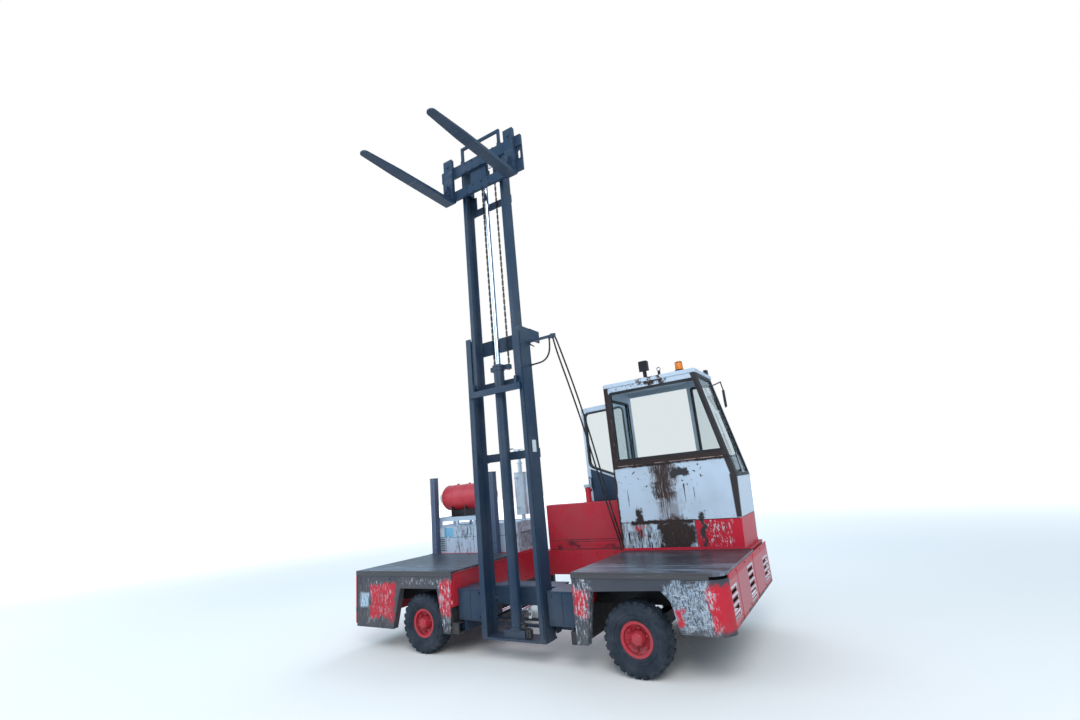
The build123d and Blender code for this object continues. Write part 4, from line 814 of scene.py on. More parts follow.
class FORKLIFT_OT_wheels(Operator):
    """Tyres with tread and wheels with nuts"""
    bl_idname = "forklift.wheels"
    bl_label = "Wheels"

    # Distance from the tyre's outer face and radius, round the tyre's section
    section = ((34, 129), (26, 134), (24, 146), (13, 158), (12, 168), (7, 171), (6, 186), (8, 190),
               (3, 194), (2, 214), (1, 226), (5, 231), (4, 240), (9, 246), (10, 262), (20, 275),
               (36, 284), (90, 288.5))

    def execute(self, context):
        sizes = context.scene.forklift_sizes
        for name, x, side in (("rear_near", REAR_WHEEL_X, 1), ("rear_far", REAR_WHEEL_X, -1),
                              ("front_near", FRONT_WHEEL_X, 1), ("front_far", FRONT_WHEEL_X, -1)):
            start = TYRE_INSET if side > 0 else FAR_SIDE - TYRE_INSET
            self.tyre(name, x, start, side, sizes.lugs)
            self.rim(name, x, start, side, sizes.nuts)
        return {"FINISHED"}

    def tyre(self, name, x, start, side, lugs):
        """A tyre turned from its section, with two rows of lugs."""
        shape = Shape()
        mirrored = [(TYRE_WIDTH - depth, radius) for depth, radius in reversed(self.section[:-1])]
        shape.lathe((x, start, TYRE_RADIUS), (0, side, 0), [*self.section, *mirrored], 72, closed=True)
        for i in range(lugs):
            self.lug(shape, x, start, side, math.tau * i / lugs, 1)
            self.lug(shape, x, start, side, math.tau * (i + 0.5) / lugs, -1)
        tyre = shape.make("tread_" + name, "rubber", name + "_wheel", smooth=30.0)
        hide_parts("tyre_" + name)

    def lug(self, shape, x, start, side, angle, inward):
        """A slanted tread bar with a shoulder block that runs down the sidewall.

        inward is 1 on the tyre's outer half and -1 on its inner half."""
        out = Vector((math.cos(angle), 0, math.sin(angle)))
        round_way = Vector((-math.sin(angle), 0, math.cos(angle)))
        across = Vector((0, side, 0))
        upright = Matrix((round_way, across, out)).transposed()
        shoulder, reach = 12, 72
        start_depth = shoulder if inward > 0 else TYRE_WIDTH - shoulder
        centre = Vector((x, start, TYRE_RADIUS)) + across * start_depth
        shape.turned_block(centre + across * inward * reach / 2 + out * 284.5, (44, reach - 10, 14),
                           upright @ Matrix.Rotation(0.30 * inward, 3, "Z"), 3.0)
        shape.turned_block(centre + across * inward * 7 + out * 269.0, (43, 16, 25),
                           upright @ Matrix.Rotation(0.62 * inward, 3, "X"), 4.0)

    def rim(self, name, x, start, side, nuts):
        """Rim beads, hub cap, wheel nuts, hub bolts and valve."""
        shape = Shape()
        centre = Vector((x, start, TYRE_RADIUS))
        across = Vector((0, side, 0))
        shape.ring(centre + across * 27, across, 139.5, 4.0, 56, 8)
        shape.ring(centre + across * 36, across, 121.0, 3.0, 56, 6)
        hub = 4.0 if name.startswith("rear") else 18.0
        hub_cap = [(0, 0.1), (0, 26), (4, 34), (14, 40), (14, 46)]
        shape.lathe(centre + across * (hub - 2), across, hub_cap, 36)
        for i in range(nuts):
            angle = math.tau * (i + 0.3) / nuts
            out = Vector((math.cos(angle), 0, math.sin(angle)))
            foot = centre + across * 66 + out * 92
            shape.bar(foot + across * 8, foot - across * 6, 14, sides=24)
            shape.bolt(foot - across * 6, across * -14, 12, 1.5)
            shape.bar(foot - across * 20, foot - across * 28, 6, sides=12)
            cap = centre + across * (hub + 8) + out * 50
            shape.bolt(cap + across * 14, across * -17, 6.5)
        valve = centre + Vector((0, 0, 104)) + across * 62
        shape.bar(valve, valve - across * 30 + Vector((0, 0, 6)), 4.5, sides=10)
        shape.make("rim_detail_" + name, "red", name + "_wheel", "rim_paint")


class FORKLIFT_OT_cab(Operator):
    """Window rubber, wiper, mirror, gutter and lamps of the cab"""
    bl_idname = "forklift.cab"
    bl_label = "Cab"

    def execute(self, context):
        width = context.scene.forklift_sizes.seal
        self.seals(width)
        self.screen(width)
        self.panel_trim()
        self.roof()
        self.mirror()
        self.inside()
        return {"FINISHED"}

    def seals(self, width):
        """Rubber round the side, far and rear windows, on both faces of the panel."""
        shape = Shape()
        head = WINDOW_HEAD
        for rear, sill, faces in ((CAB_REAR + 60, WINDOW_SILL, ((CAB_NEAR - 6, 16), (CAB_NEAR + 30, 12))),
                                  (1540, WINDOW_SILL - 60, ((FAR_SIDE - 10, 14), (FAR_SIDE - 42, 12)))):
            points = [Vector((x, 0, z)) for x, z in (
                (rear, sill), (rear, head), (screen_x(head) - 32, head), (screen_x(sill) - 32, sill))]
            middle = sum(points, Vector()) / 4
            grown = [point + (point - middle).normalized() * 12 for point in points]
            for y, depth in faces:
                shape.plate([point + ACROSS * y for point in grown], (0, depth, 0), corner=34.0,
                            border=width)
        low, high = CAB_NEAR + 105 - 10, FAR_SIDE - 105 + 10
        for x, depth in ((CAB_REAR - 5, 16), (CAB_REAR + 30, 12)):
            foot, top = WINDOW_SILL - 10, head - 60
            shape.plate([(x, low, foot), (x, high, foot), (x, high, top), (x, low, top)], (depth, 0, 0),
                        corner=34.0, border=width)
        shape.make("window_rubber", "trim")

    def screen(self, width):
        """Windscreen rubber and the wiper."""
        shape = Shape()
        foot, head = 1512.0, 2632.0
        lean = Vector((screen_x(head) - screen_x(foot), 0, head - foot)).normalized()
        out = Vector((lean.z, 0, -lean.x))
        near, far = CAB_NEAR + 30, FAR_SIDE - 30
        corners = [Vector((screen_x(z), y, z)) for y, z in (
            (near, foot), (far, foot), (far, head), (near, head))]
        shape.plate([c - out * 12 for c in corners], out * 16, corner=30.0, border=width + 8)
        shape.make("screen_rubber", "trim")
        wiper = Shape()
        pivot = Vector((screen_x(1560), 1500, 1560)) + out * 2
        wiper.bar(pivot - out * 12, pivot + out * 14, 14, sides=18, edge=2)
        tip = pivot + lean * 430 + Vector((0, 120, 0)) + out * 16
        wiper.bar(pivot + out * 10, tip, 5, sides=8)
        wiper.bar(tip - lean * 230 - out * 8, tip + lean * 230 - out * 8, 6, sides=8)
        wiper.make("wiper", "trim")

    def panel_trim(self):
        """Sill bars, seams and a corner strip of the cab's load side."""
        shape = Shape()
        y = CAB_NEAR
        shape.block((CAB_REAR + 52, 1982), (y - 8, y + 4), (1716, 1731), 3.0)
        shape.block((CAB_REAR + 2, 1992), (y - 7, y + 4), (1698, 1704), 2.0)
        shape.block((CAB_REAR - 4, CAB_REAR + 10), (y - 6, y + 4), (860, 2632), 3.0)
        shape.make("side_sill_bar", "side")
        seams = Shape()
        seams.block((CAB_REAR + 6, 1990), (y - 3, y + 2), (1110, 1116), 1.0)
        seams.block((1536, 1541), (y - 3, y + 2), (846, 1112), 1.0)
        seams.block((1992, 2006), (y + 30, FAR_SIDE - 30), (1108, 1116), 1.0)
        seams.make("side_seams", "trim")

    def roof(self):
        """Gutter, beacon, work lamp, lifting eye and aerial."""
        z = 2681.0
        gutter = Shape()
        outline = [(CAB_REAR - 6, CAB_NEAR - 8, 2634), (1798, CAB_NEAR - 8, 2634),
                   (1798, FAR_SIDE + 2, 2634), (CAB_REAR - 6, FAR_SIDE + 2, 2634)]
        gutter.plate(outline, (0, 0, 7), corner=20.0, border=14.0)
        gutter.make("roof_gutter", "roof")
        beacon = Shape()
        dome = [(0, 48), (4, 50), (8, 46), (70, 44.5), (94, 42), (106, 26), (110, 0.5)]
        beacon.lathe((1560, 1500, z + 58), UP, dome, 32)
        beacon.make("beacon_lens", "amber")
        lamp = Shape()
        lamp.bar((1215, 1300, z + 76), (1215, 1300, z + 86), 20, sides=6)
        lamp.ring((1380, 1305, z + 78), (0, 1, 0), 20, 6, 28, 8)
        lamp.bar((800, 1860, z - 4), (800, 1860, z + 10), 16, sides=20, edge=2)
        lamp.bar((800, 1860, z + 8), (800, 1860, z + 30), 7, sides=12)
        for x, y in ((760, 1290), (760, 1880), (1700, 1290), (1700, 1880)):
            lamp.bolt((x, y, z - 6), UP * 13, 9, 1.5)
        lamp.make("roof_lamp_detail", "steel")
        hood = Shape()
        foot, top = z + 83, z + 197
        hood.plate([(1170, 1246, foot), (1270, 1246, foot), (1270, 1246, top), (1170, 1246, top)],
                   (0, 10, 0), corner=14.0, border=13.0)
        for slat in range(6):
            slat_z = z + 98 + slat * 16
            hood.block((1176, 1264), (1309, 1318), (slat_z, slat_z + 6), 2)
        hood.turned_block(Vector((1215, 1272, z + 84)), (110, 16, 10), Matrix.Identity(3), 2)
        hood.make("work_lamp_frame", "trim")

    def mirror(self):
        """Mirror on a bent arm at the far front corner."""
        shape = Shape()
        root = Vector((screen_x(2560) - 20, FAR_SIDE - 6, 2560))
        bend = root + Vector((100, 60, 40))
        shape.bar(root, bend, 7, sides=12)
        shape.ball(bend, 7.5, rings=6)
        shape.bar(bend, bend + Vector((10, 20, -90)), 7, sides=12)
        face = bend + Vector((10, 22, -200))
        shape.turned_block(face, (26, 110, 210), Matrix.Rotation(0.25, 3, "Z"), 10.0)
        shape.make("mirror", "trim")

    def inside(self):
        """Seat with padded cushion and back, levers and instruments."""
        base = Shape()
        base.block((985, 1315), (1425, 1755), (850, 900), 8)
        base.block((1010, 1290), (1450, 1730), (900, 1130), 10, 2)
        for x in (1000, 1275):
            for y in (1440, 1710):
                base.block((x, x + 25), (y, y + 30), (1130, 1175), 3)
        base.make("seat_base", "trim")
        cushion = self.pad("seat_cushion", Vector((1150, 1590, 1235)), (440, 400, 112), Matrix.Identity(3))
        back = self.pad("seat_back", Vector((965, 1590, 1530)), (105, 400, 470),
                        Matrix.Rotation(math.radians(-7), 3, "Y"))
        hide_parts("seat")
        gear = Shape()
        for foot_x, y in ((1700, 1330), (1710, 1375), (1720, 1420)):
            gear.bar((foot_x, y, 1340), (1660, y + 6, 1540), 6, sides=10)
            gear.ball((1660, y + 6, 1545), 17, rings=8)
        for y in (1500, 1590, 1680):
            gear.bar((1772, y, 1366), (1764, y, 1380), 38, sides=28, edge=3)
        for y in (1520, 1640):
            gear.turned_block(Vector((1640, y, 905)), (90, 60, 12), Matrix.Rotation(0.5, 3, "Y"), 4)
            gear.bar((1650, y, 850), (1670, y, 905), 7, sides=8)
        gear.make("cab_controls", "trim")

    def pad(self, name, middle, size, turn):
        """A crowned cushion with pulled-in seams: a soft block, subdivided and swollen."""
        shape = Shape()
        verts = bmesh.ops.create_cube(shape.mesh, size=1.0)["verts"]
        edges = list({e for v in verts for e in v.link_edges})
        bmesh.ops.subdivide_edges(shape.mesh, edges=edges, cuts=7, use_grid_fill=True)
        thick = 0 if size[2] > size[0] else 2
        wide = [axis for axis in range(3) if axis != thick]
        for vert in shape.mesh.verts:
            unit = vert.co * 2
            first, last = (unit[axis] for axis in wide)
            crown = (1 - first ** 4) * (1 - last ** 4)
            seam = 0.10 * (math.exp(-(last * 6 - 2) ** 2) + math.exp(-(last * 6 + 2) ** 2))
            vert.co[thick] *= 0.72 + 0.28 * crown - seam
            for axis in wide:
                vert.co[axis] *= 0.94 + 0.06 * (1 - abs(unit[thick])) - 0.015 * crown
        shape.place(shape.mesh.verts, Matrix.Translation(middle) @ turn.to_4x4()
                    @ Matrix.Diagonal((*size, 1.0)))
        made = shape.make(name, "cloth", smooth=80.0)
        soft = made.modifiers.new("soft", "SUBSURF")
        soft.levels = soft.render_levels = 1
        return made


class FORKLIFT_OT_door(Operator):
    """Strip, rubber, handle and hinge bolts on the open door"""
    bl_idname = "forklift.door"
    bl_label = "Door"

    def execute(self, context):
        # All is drawn on the closed door and swung open with it
        hinge = Vector((705, 1963, 0))
        opened = Matrix.Rotation(math.radians(170), 4, "Z")
        swing = Matrix.Translation(hinge) @ opened @ Matrix.Translation(-hinge)
        width = context.scene.forklift_sizes.seal
        low, high = 800.0, 1430.0
        pane = [(low - 10, 1548), (low - 10, 2520), (high + 10, 2520), (high + 10, 1784)]
        rubber = Shape()
        for y in (1942, 1972):
            rubber.plate([(x, y, z) for x, z in pane], (0, 12, 0), corner=70.0, border=width, segments=6)
        rubber.place(rubber.mesh.verts, swing)
        rubber.make("door_rubber", "trim", "door")
        strip = Shape()
        for y in (1940, 1979):
            strip.plate([(780, y, 1518), (1450, y, 1770), (1450, y, 1784), (780, y, 1532)], (0, 7, 0))
        for z in (1073, 1723, 2423):
            for x in (735, 765):
                strip.bolt((x, 1978, z), (0, 8, 0), 8)
        strip.place(strip.mesh.verts, swing)
        strip.make("door_strip", "plate", "door")
        handle = Shape()
        for z in (1480, 1640):
            handle.bar((1440, 1972, z), (1440, 2008, z), 9, sides=12)
        handle.bar((1440, 2006, 1465), (1440, 2006, 1655), 9, sides=14)
        handle.place(handle.mesh.verts, swing)
        handle.make("door_handle", "trim", "door")
        return {"FINISHED"}


class FORKLIFT_OT_engine_end(Operator):
    """Seams, latches and vents of the hood, the gas bottle's fittings, silencer and tank"""
    bl_idname = "forklift.engine_end"
    bl_label = "Engine end"

    def execute(self, context):
        self.hood()
        self.bottle()
        self.silencer()
        self.tank()
        return {"FINISHED"}

    def hood(self):
        """Seams, latches, rim, blank plate and the perforated front field."""
        near, top, rear, front = 1315.0, 1170.0, -2185.0, -745.0
        seams = Shape()
        face = (near - 2.5, near + 2)
        for x in (-1975, -1480):
            seams.block((x, x + 4), face, (832, top - 4), 1.0)
        seams.block((rear + 6, front - 6), face, (1021, 1025), 1.0)
        seams.block((front - 2, front + 2.5), (near + 20, 1900), (1040, 1044), 1.0)
        seams.make("hood_seams", "trim")
        trim = Shape()
        for x in (-1940, -1520, -1430, -800):
            trim.block((x, x + 34), (near - 9, near + 2), (985, 1045), 3.0)
            trim.bolt((x + 17, near - 8, 1000), (0, -7, 0), 7, sides=16)
        rim = ((rear - 5, near - 6), (front + 5, near - 6), (front + 5, 1926), (rear - 5, 1926))
        trim.plate([(x, y, top - 2) for x, y in rim], (0, 0, 9), corner=12.0, border=28.0)
        for x in (rear + 60, -1470, front - 60):
            for z in (850, 1140):
                trim.bolt((x, near + 2, z), (0, -8, 0), 8)
        trim.make("hood_trim", "hood")
        plate = Shape()
        outline = ((-2170, 1035), (-2002, 1035), (-2002, 1148), (-2170, 1148))
        plate.plate([(x, near - 1, z) for x, z in outline], (0, -3, 0), corner=6.0)
        for x in (-2160, -2012):
            for z in (1045, 1138):
                plate.bar((x, near - 3, z), (x, near - 6, z), 3.5, sides=10)
        plate.make("hood_plate", "plate")
        grille = Shape()
        columns, rows, pitch = 16, 13, 15.5
        for column in range(columns):
            for row in range(rows):
                y, z = 1375 + column * pitch, 865 + row * pitch
                grille.bar((front - 1, y, z), (front + 1.6, y, z), 4.6, sides=6)
        grille.make("hood_perforation", "trim")

    def bottle(self):
        """The gas bottle's rings, foot, valve in its collar and straps."""
        x0, x1, y, z, radius = -2100.0, -1290.0, 1500.0, 1550.0, 172.0
        shape = Shape()
        for x in (x0 + 78, x1 - 78):
            shape.ring((x, y, z), ALONG, radius - 1, 4.0, 56)
        shape.ring(((x0 + x1) / 2, y, z), ALONG, radius, 3.0, 56)
        foot = [(0, 120), (28, 126), (34, 124), (34, 118), (2, 112)]
        shape.lathe((x1 - 4, y, z), ALONG, foot, 40, closed=True)
        shape.make("bottle_rings", "bottle")
        valve = Shape()
        collar = [(0, 62), (0, 70), (58, 84), (78, 86), (78, 78), (52, 76)]
        valve.lathe((x0 - 62, y, z), ALONG, collar, 36, closed=True)
        body = [(-14, 0.1), (-14, 30), (-6, 32), (20, 26), (40, 30)]
        valve.lathe((x0 - 40, y, z), ALONG, body, 28)
        valve.bar((x0 - 40, y, z), (x0 - 40, y, z + 52), 13, sides=18, edge=2)
        knobs, reach = 6, 24
        for knob in range(knobs):
            angle = math.tau * knob / knobs
            valve.ball(Vector((x0 - 40 + reach * math.sin(angle), y + reach * math.cos(angle), z + 58)),
                       8, rings=6)
        valve.make("bottle_valve", "pale")
        straps = Shape()
        for x in (-1880, -1668):
            band = [(0, radius + 0.5), (0, radius + 3), (24, radius + 3), (24, radius + 0.5)]
            straps.lathe((x, y, z), ALONG, band, 56, closed=True)
            straps.block((x + 2, x + 22), (y - 8, y + 26), (z + radius + 2, z + radius + 16), 4)
        straps.make("bottle_straps", "bottle")

    def silencer(self):
        """Beads and clamps of the silencer and the hinge of its rain cap."""
        x, y = -870.0, 1650.0
        bands = Shape()
        for z in (1258, 1524, 1797):
            bands.ring((x, y, z), UP, 88, 4.0, 48)
        for z in (1330, 1720):
            bands.lathe((x, y, z), UP, [(0, 89), (0, 92), (26, 92), (26, 89)], 48, closed=True)
            bands.block((x - 12, x + 12), (y - 112, y - 88), (z + 3, z + 23), 3)
            bands.bar((x - 22, y - 104, z + 13), (x + 22, y - 104, z + 13), 5, sides=8)
        bands.ring((x, y, 1178), UP, 30, 9)
        bands.bar((x - 60, y - 34, 2121), (x - 60, y + 34, 2121), 7, sides=12)
        bands.block((x - 78, x - 58), (y - 14, y + 14), (2060, 2124), 3)
        bands.make("silencer_bands", "silver")

    def tank(self):
        """Seams of the tank drawn as dark strips that are painted shadow lines, its bolts, and its filler
        with a ridged cap.
        """
        near = 1745.0
        # Dark strips along the seams and the lower edge: seams with painted shadow lines
        seam_shadow_lines = Shape()
        for x, z in (((-545, 640), (892, 898)), ((-300, 560), (867, 871)), ((-545, 655), (777, 785))):
            seam_shadow_lines.block(x, (near - 2.5, near + 2), z, 1)
        seam_shadow_lines.make("tank_seam_shadow_lines", "iron")
        shape = Shape()
        for x in (-540, -250, 40, 330, 590):
            shape.bolt((x, near + 2, 826), (0, -9, 0), 9, 1.2)
        filler_x, filler_y = 40, 1840
        shape.lathe((filler_x, filler_y, 1336), UP, [(0, 62), (6, 62), (12, 40), (12, 34)], 32)
        shape.make("tank_seams", "red")
        cap = Shape()
        lid = [(0, 44), (4, 46), (30, 46), (36, 40), (38, 0.2)]
        cap.lathe((filler_x, filler_y, 1524), UP, lid, 32)
        ridges = 10
        for ridge in range(ridges):
            angle = math.tau * ridge / ridges
            x, y = filler_x + 45 * math.cos(angle), filler_y + 45 * math.sin(angle)
            cap.bar((x, y, 1528), (x, y, 1552), 4, sides=8)
        cap.make("filler_cap", "pale")


class FORKLIFT_OT_mast(Operator):
    """Chains with links, welds, bolts, plates and pipes of mast and carriages"""
    bl_idname = "forklift.mast"
    bl_label = "Mast"

    def execute(self, context):
        self.chains(context.scene.forklift_sizes.link)
        self.outer()
        self.inner()
        self.carriage()
        self.reach()
        return {"FINISHED"}

    def chains(self, pitch):
        """Leaf chains: pairs of plates, turn about, on their pins."""
        sheave_y, sheave_z, sheave_radius = 125.0, 5440.0, 58.0
        lift_foot, drop_foot, drop_y = 2895.0, 5250.0, 56.0
        middle = sheave_radius + 6.3
        arc = middle * math.pi
        rise = sheave_z - lift_foot
        lift, drop = Shape(), Shape()
        for side in (-1, 1):
            x = side * 97.0
            for i in range(int((rise + arc) / pitch)):
                run = (i + 0.5) * pitch
                lean = max(0.0, run - rise) / middle
                place = Vector((x, sheave_y + middle * math.cos(lean),
                                min(lift_foot + run, sheave_z) + middle * math.sin(lean)))
                self.link(lift, place, lean, pitch, i)
            for i in range(int((sheave_z - 5 - drop_foot) / pitch)):
                self.link(drop, Vector((x, drop_y, drop_foot + pitch * (i + 0.5))), 0.0, pitch, i)
            for shape, y, z in ((lift, sheave_y + middle, 2868), (drop, drop_y, 5232)):
                shape.bar((x, y, z - 26), (x, y, z + 20), 7, sides=14)
                shape.bolt((x, y, z - 18), (0, 0, 10), 13, 1.5)
        chain = lift.make("lift_chain_links", "chain", "inner")
        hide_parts("lift_chains")
        chain = drop.make("carriage_chain_links", "chain", "forks")
        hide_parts("carriage_chains")

    def link(self, shape, place, lean, pitch, turn):
        """Plates and pin of one link, leaning round the sheave."""
        spin = Matrix.Rotation(lean, 3, "X")
        plates = (-9.5, 0.0, 9.5) if turn % 2 else (-5.0, 5.0)
        for offset in plates:
            shape.turned_block(place + Vector((offset, 0, 0)), (3.6, 10.5, pitch + 9), spin, 1.5)
        pin = place + spin @ Vector((0, 0, pitch / 2))
        shape.bar(pin - Vector((12.5, 0, 0)), pin + Vector((12.5, 0, 0)), 3.4, sides=8)

    def outer(self):
        """Welds, bolts, gland, blank plates, hose unions, valve and pipes."""
        shape = Shape()
        for side in (-1, 1):
            for z in (480, 645, 1885, 1969, 3070, 3235):
                shape.bar((side * 300, 238, z), (side * 366, 238, z), 4.0, sides=8)
            shape.bolt((side * 392, 250, 300), (side * 5, 0, 0), 26, 2, sides=24)
            shape.bolt((side * 397, 250, 300), (side * 6, 0, 0), 12)
            shape.block((side * 369, side * 374), (70, 190), (200, 330), 2)
            for y in (95, 165):
                for z in (232, 298):
                    shape.bolt((side * 373, y, z), (side * 8, 0, 0), 9)
        shape.bar((-60, 125, 222), (60, 125, 222), 6, sides=8)
        shape.lathe((0, 125, 290), UP, [(0, 70), (18, 70), (22, 58)], 40)
        shape.lathe((0, 125, 2872), UP, [(0, 63), (6, 68), (26, 68), (32, 60), (36, 34)], 40)
        # Hose unions on the arm at the mast's head
        shape.bolt((662, 192, 3072), (0, 0, 46), 19, 2, sides=20)
        shape.bolt((690, 192, 3074), (0, 0, 42), 17, 2, sides=20)
        shape.turned_block(Vector((400, 192, 3060)), (90, 12, 12), Matrix.Rotation(0.7, 3, "Y"), 2)
        for foot, push in (((682, 200, 3095), (0, 19, -2)), ((661, 200, 3091), (0, 19, -2)),
                           ((628, 192, 3092), (0, 0, -26)), ((366, 192, 2840), (26, 0, 0))):
            shape.bolt(foot, push, 13, 1.5)
        shape.make("outer_mast_welds", "mast", "mast")
        plate = Shape()
        outline = ((95, 1930), (160, 1930), (160, 2050), (95, 2050))
        plate.plate([(369, y, z) for y, z in outline], (3, 0, 0), corner=5.0)
        outline = ((-60, 1990), (40, 1990), (40, 2006), (-60, 2006))
        plate.plate([(x, 218, z) for x, z in outline], (0, 12, 0))
        plate.make("outer_mast_plate", "plate", "mast")
        pipes = Shape()
        pipes.bar((90, 105, 330), (90, 105, 420), 9, sides=12)
        pipes.bar((52, 112, 345), (92, 104, 345), 9, sides=12)
        pipes.block((74, 118), (84, 132), (300, 336), 5)
        pipes.bar((104, 100, 318), (150, 86, 300), 10, sides=12)
        pipes.block((136, 186), (64, 118), (226, 300), 6)
        for z in (250, 275):
            pipes.bolt((158, 64, z), (0, -12, 0), 11)
        pipes.make("mast_foot_valve", "iron", "mast")
        rail = Shape()
        for y in (24, 33):
            rail.bar((352, y + 6, 240), (352, y + 6, 3200), 4.2, sides=8)
        for z in range(400, 3200, 400):
            rail.block((342, 366), (24, 42), (z, z + 18), 2)
        rail.make("mast_pipes", "mast", "mast")

    def inner(self):
        """Welds of the ties, the foot rollers' pins and the sheaves' bolts."""
        shape = Shape()
        for side in (-1, 1):
            for z in (2690, 2745, 4830, 4920, 5400, 5480):
                shape.bar((side * 240, 213, z), (side * 299, 213, z), 3.5, sides=8)
            shape.bolt((side * 290, 130, 2755), (side * 6, 0, 0), 34, 2, sides=24)
            shape.bolt((side * 345, 130, 2755), (side * 4, 0, 0), 30, 1.5, sides=24)
            shape.block((side * 262, side * 292), (56, 62), (5490, 5600), 2)
            for z in (5520, 5570):
                shape.bolt((side * 277, 58, z), (0, -9, 0), 9)
            shape.bolt((side * 128, 125, 5440), (side * 6, 0, 0), 24, 2, sides=20)
            shape.bolt((side * 134, 125, 5440), (side * 8, 0, 0), 11)
        shape.make("inner_mast_welds", "mast", "inner")

    def carriage(self):
        """Rollers, bolts and hooks; it is shifted sideways, with a fork on each side of its middle."""
        shift, fork_spacing = 55, 451.5
        shape = Shape()
        for side in (-1, 1):
            for z in (5150, 5400):
                shape.bolt((side * 284, 129, z), (side * 4, 0, 0), 44, 2, sides=28)
                shape.bolt((side * 206, 129, z), (side * 9, 0, 0), 20, 2)
            for z in (5010, 5085, 5310, 5415):
                for x in (160, 60):
                    shape.bolt((side * x, -40, z), (0, -10, 0), 12, 1.5)
            fork = shift + side * fork_spacing
            for z in (5458, 5466):
                shape.bar((fork - 40, -30, z), (fork + 40, -30, z), 5, sides=8)
            shape.bolt((fork, -85, 5440), (0, -11, 0), 16, 2, sides=24)
        for x, inward in ((-532, 1), (642, -1)):
            for z in (5105, 5293):
                shape.bar((x + inward * 4, -22, z), (x + inward * 116, -22, z), 4, sides=8)
        shape.make("fork_carriage_bolts", "mast", "forks")

    def reach(self):
        """Bolts and welds of the reach carriage, and the pipe across it."""
        shape = Shape()
        for side in (-1, 1):
            for x in (430, 660):
                for z in (380, 600):
                    shape.bolt((side * x, 90, z), (0, -9, 0), 13, 1.5)
            for z in (626, 345):
                shape.block((side * 392, side * 698), (84, 91), (z, z + 14), 3)
            shape.block((side * 540, side * 546), (86, 91), (360, 626), 1)
        shape.make("reach_carriage_bolts", "mast", "reach")
        pipe = Shape()
        pipe.bar((-165, 300, 372), (-165, 615, 372), 13, edge=1)
        pipe.bolt((-165, 296, 372), (0, 16, 0), 20, 2)
        pipe.bolt((-165, 602, 372), (0, 18, 0), 20, 2)
        for y in (395, 600):
            pipe.block((-181, -149), (y - 12, y + 12), (255, 372), 3)
        pipe.make("reach_pipe", "chrome", "reach")


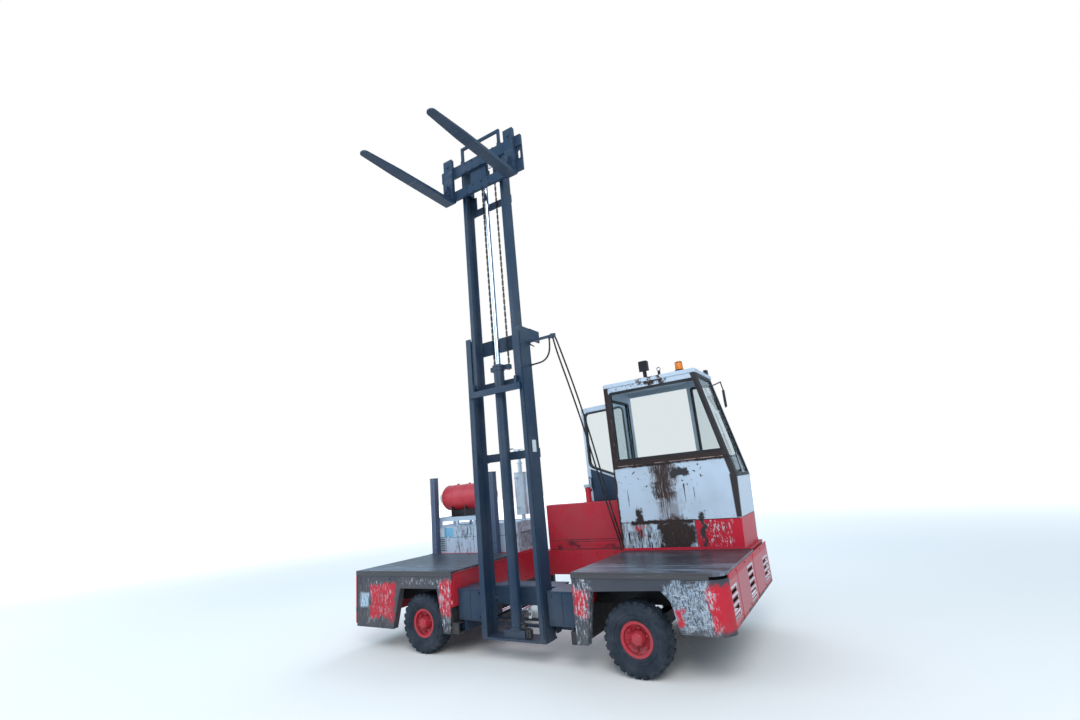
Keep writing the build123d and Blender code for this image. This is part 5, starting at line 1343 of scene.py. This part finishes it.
class FORKLIFT_OT_body(Operator):
    """Edges, seams and bolts of decks, stakes, fenders, end panel and mast well"""
    bl_idname = "forklift.body"
    bl_label = "Body"

    def execute(self, context):
        self.decks()
        self.stakes()
        self.fenders()
        self.ends()
        self.well()
        return {"FINISHED"}

    def decks(self):
        """Rolled edges, the joint against cab and hood, and countersunk bolts."""
        deck = Shape()
        for x0, x1, joint in ((-2200, -710, (-2200, -712)), (710, 1931, (712, 2050))):
            deck.block((x0 + 2, x1 - 2), (-3, 3), (DECK - 14, DECK + 3), 3)
            deck.block((x0 + 4, x1 - 4), (-2, 3), (DECK - 50, DECK - 43), 2)
            deck.block(joint, (1219, 1227), (DECK - 2, DECK + 4), 1.5)
            rows = 5
            for row in range(rows):
                x = x0 + (x1 - x0) / rows * (row + 0.5)
                for y in (60, 620, 1170):
                    deck.lathe((x, y, DECK - 1), UP, [(0, 17), (3, 14), (3.4, 0.3)], 20)
        deck.make("deck_edges", "deck")

    def stakes(self):
        """Foot plate, cap, bolts and front seam of each stake."""
        stakes = Shape()
        for x in (-2155, -1110):
            stakes.block((x - 6, x + 86), (1222, 1314), (DECK, DECK + 12), 3)
            stakes.block((x - 3, x + 83), (1225, 1311), (1828, 1841), 4)
            for z in (DECK + 60, DECK + 130):
                stakes.bolt((x + 40, 1229, z), (0, -9, 0), 11, 1.5)
            stakes.block((x + 36, x + 44), (1225, 1229), (DECK + 180, 1790), 1)
        stakes.make("stake_fittings", "stake")

    def fenders(self):
        """Bolts along the fenders' top and foot."""
        fenders = Shape()
        for x in (-2120, -1700, -1640, -770, 760, 1700, 1880):
            for z in (690, 735):
                fenders.bolt((x, 6, z), (0, -8, 0), 8)
        for y, outward in ((7, -1), (FAR_SIDE - 7, 1)):
            for x in (-2150, -1620, -800, 780, 1690):
                fenders.bolt((x, y, 300), (0, 6 * outward, 0), 7, sides=12)
        fenders.make("fender_bolts", "fender")

    def ends(self):
        """Bolts, joints and top edge of the cab-end panel."""
        ends = Shape()
        for y in (400, 760, 1150, 1540):
            for z in (440, 780):
                ends.bolt((2055, y, z), (7, 0, 0), 9)
        for y in (420, 1130):
            ends.block((2054, 2059), (y, y + 5), (402, 793), 1)
        ends.block((2050, 2060), (130, 1930), (788, 800), 2)
        ends.make("end_panel_bolts", "end")

    def well(self):
        """Edges and bolts of the mast well's sides and back."""
        well = Shape()
        for side in (-1, 1):
            well.block((side * 704, side * 711), (40, 1730), (788, 800), 2)
            for y in range(160, 1700, 300):
                for z in (740, 520):
                    well.bolt((side * 710, y, z), (side * -8, 0, 0), 9)
        for x in range(-600, 700, 240):
            well.bolt((x, 1740, 720), (0, -9, 0), 10)
        well.block((-690, 690), (1733, 1741), (486, 496), 2)
        well.make("well_bolts", "well")


OPERATORS = (FORKLIFT_OT_stage, FORKLIFT_OT_hoses, FORKLIFT_OT_paint, FORKLIFT_OT_wheels,
             FORKLIFT_OT_cab, FORKLIFT_OT_door, FORKLIFT_OT_engine_end, FORKLIFT_OT_mast,
             FORKLIFT_OT_body)


class FORKLIFT_PT_panel(Panel):
    """Buttons and colours in the 3D view's sidebar"""
    bl_idname = "FORKLIFT_PT_panel"
    bl_label = "Side loader forklift"
    bl_space_type = "VIEW_3D"
    bl_region_type = "UI"
    bl_category = "Forklift"

    def draw(self, context):
        for group in (context.scene.forklift_colours, context.scene.forklift_sizes):
            for name in group.__annotations__:
                self.layout.prop(group, name)
        for operator in OPERATORS:
            self.layout.operator(operator.bl_idname)


CLASSES = (ForkliftColours, ForkliftSizes, *OPERATORS, FORKLIFT_PT_panel)


def register():
    for item in CLASSES:
        bpy.utils.register_class(item)
    bpy.types.Scene.forklift_colours = PointerProperty(type=ForkliftColours)
    bpy.types.Scene.forklift_sizes = PointerProperty(type=ForkliftSizes)


def unregister():
    del bpy.types.Scene.forklift_sizes
    del bpy.types.Scene.forklift_colours
    for item in reversed(CLASSES):
        bpy.utils.unregister_class(item)


def main():
    register()
    for operator in OPERATORS:
        group, name = operator.bl_idname.split(".")
        getattr(getattr(bpy.ops, group), name)()


if __name__ == "__main__":
    main()
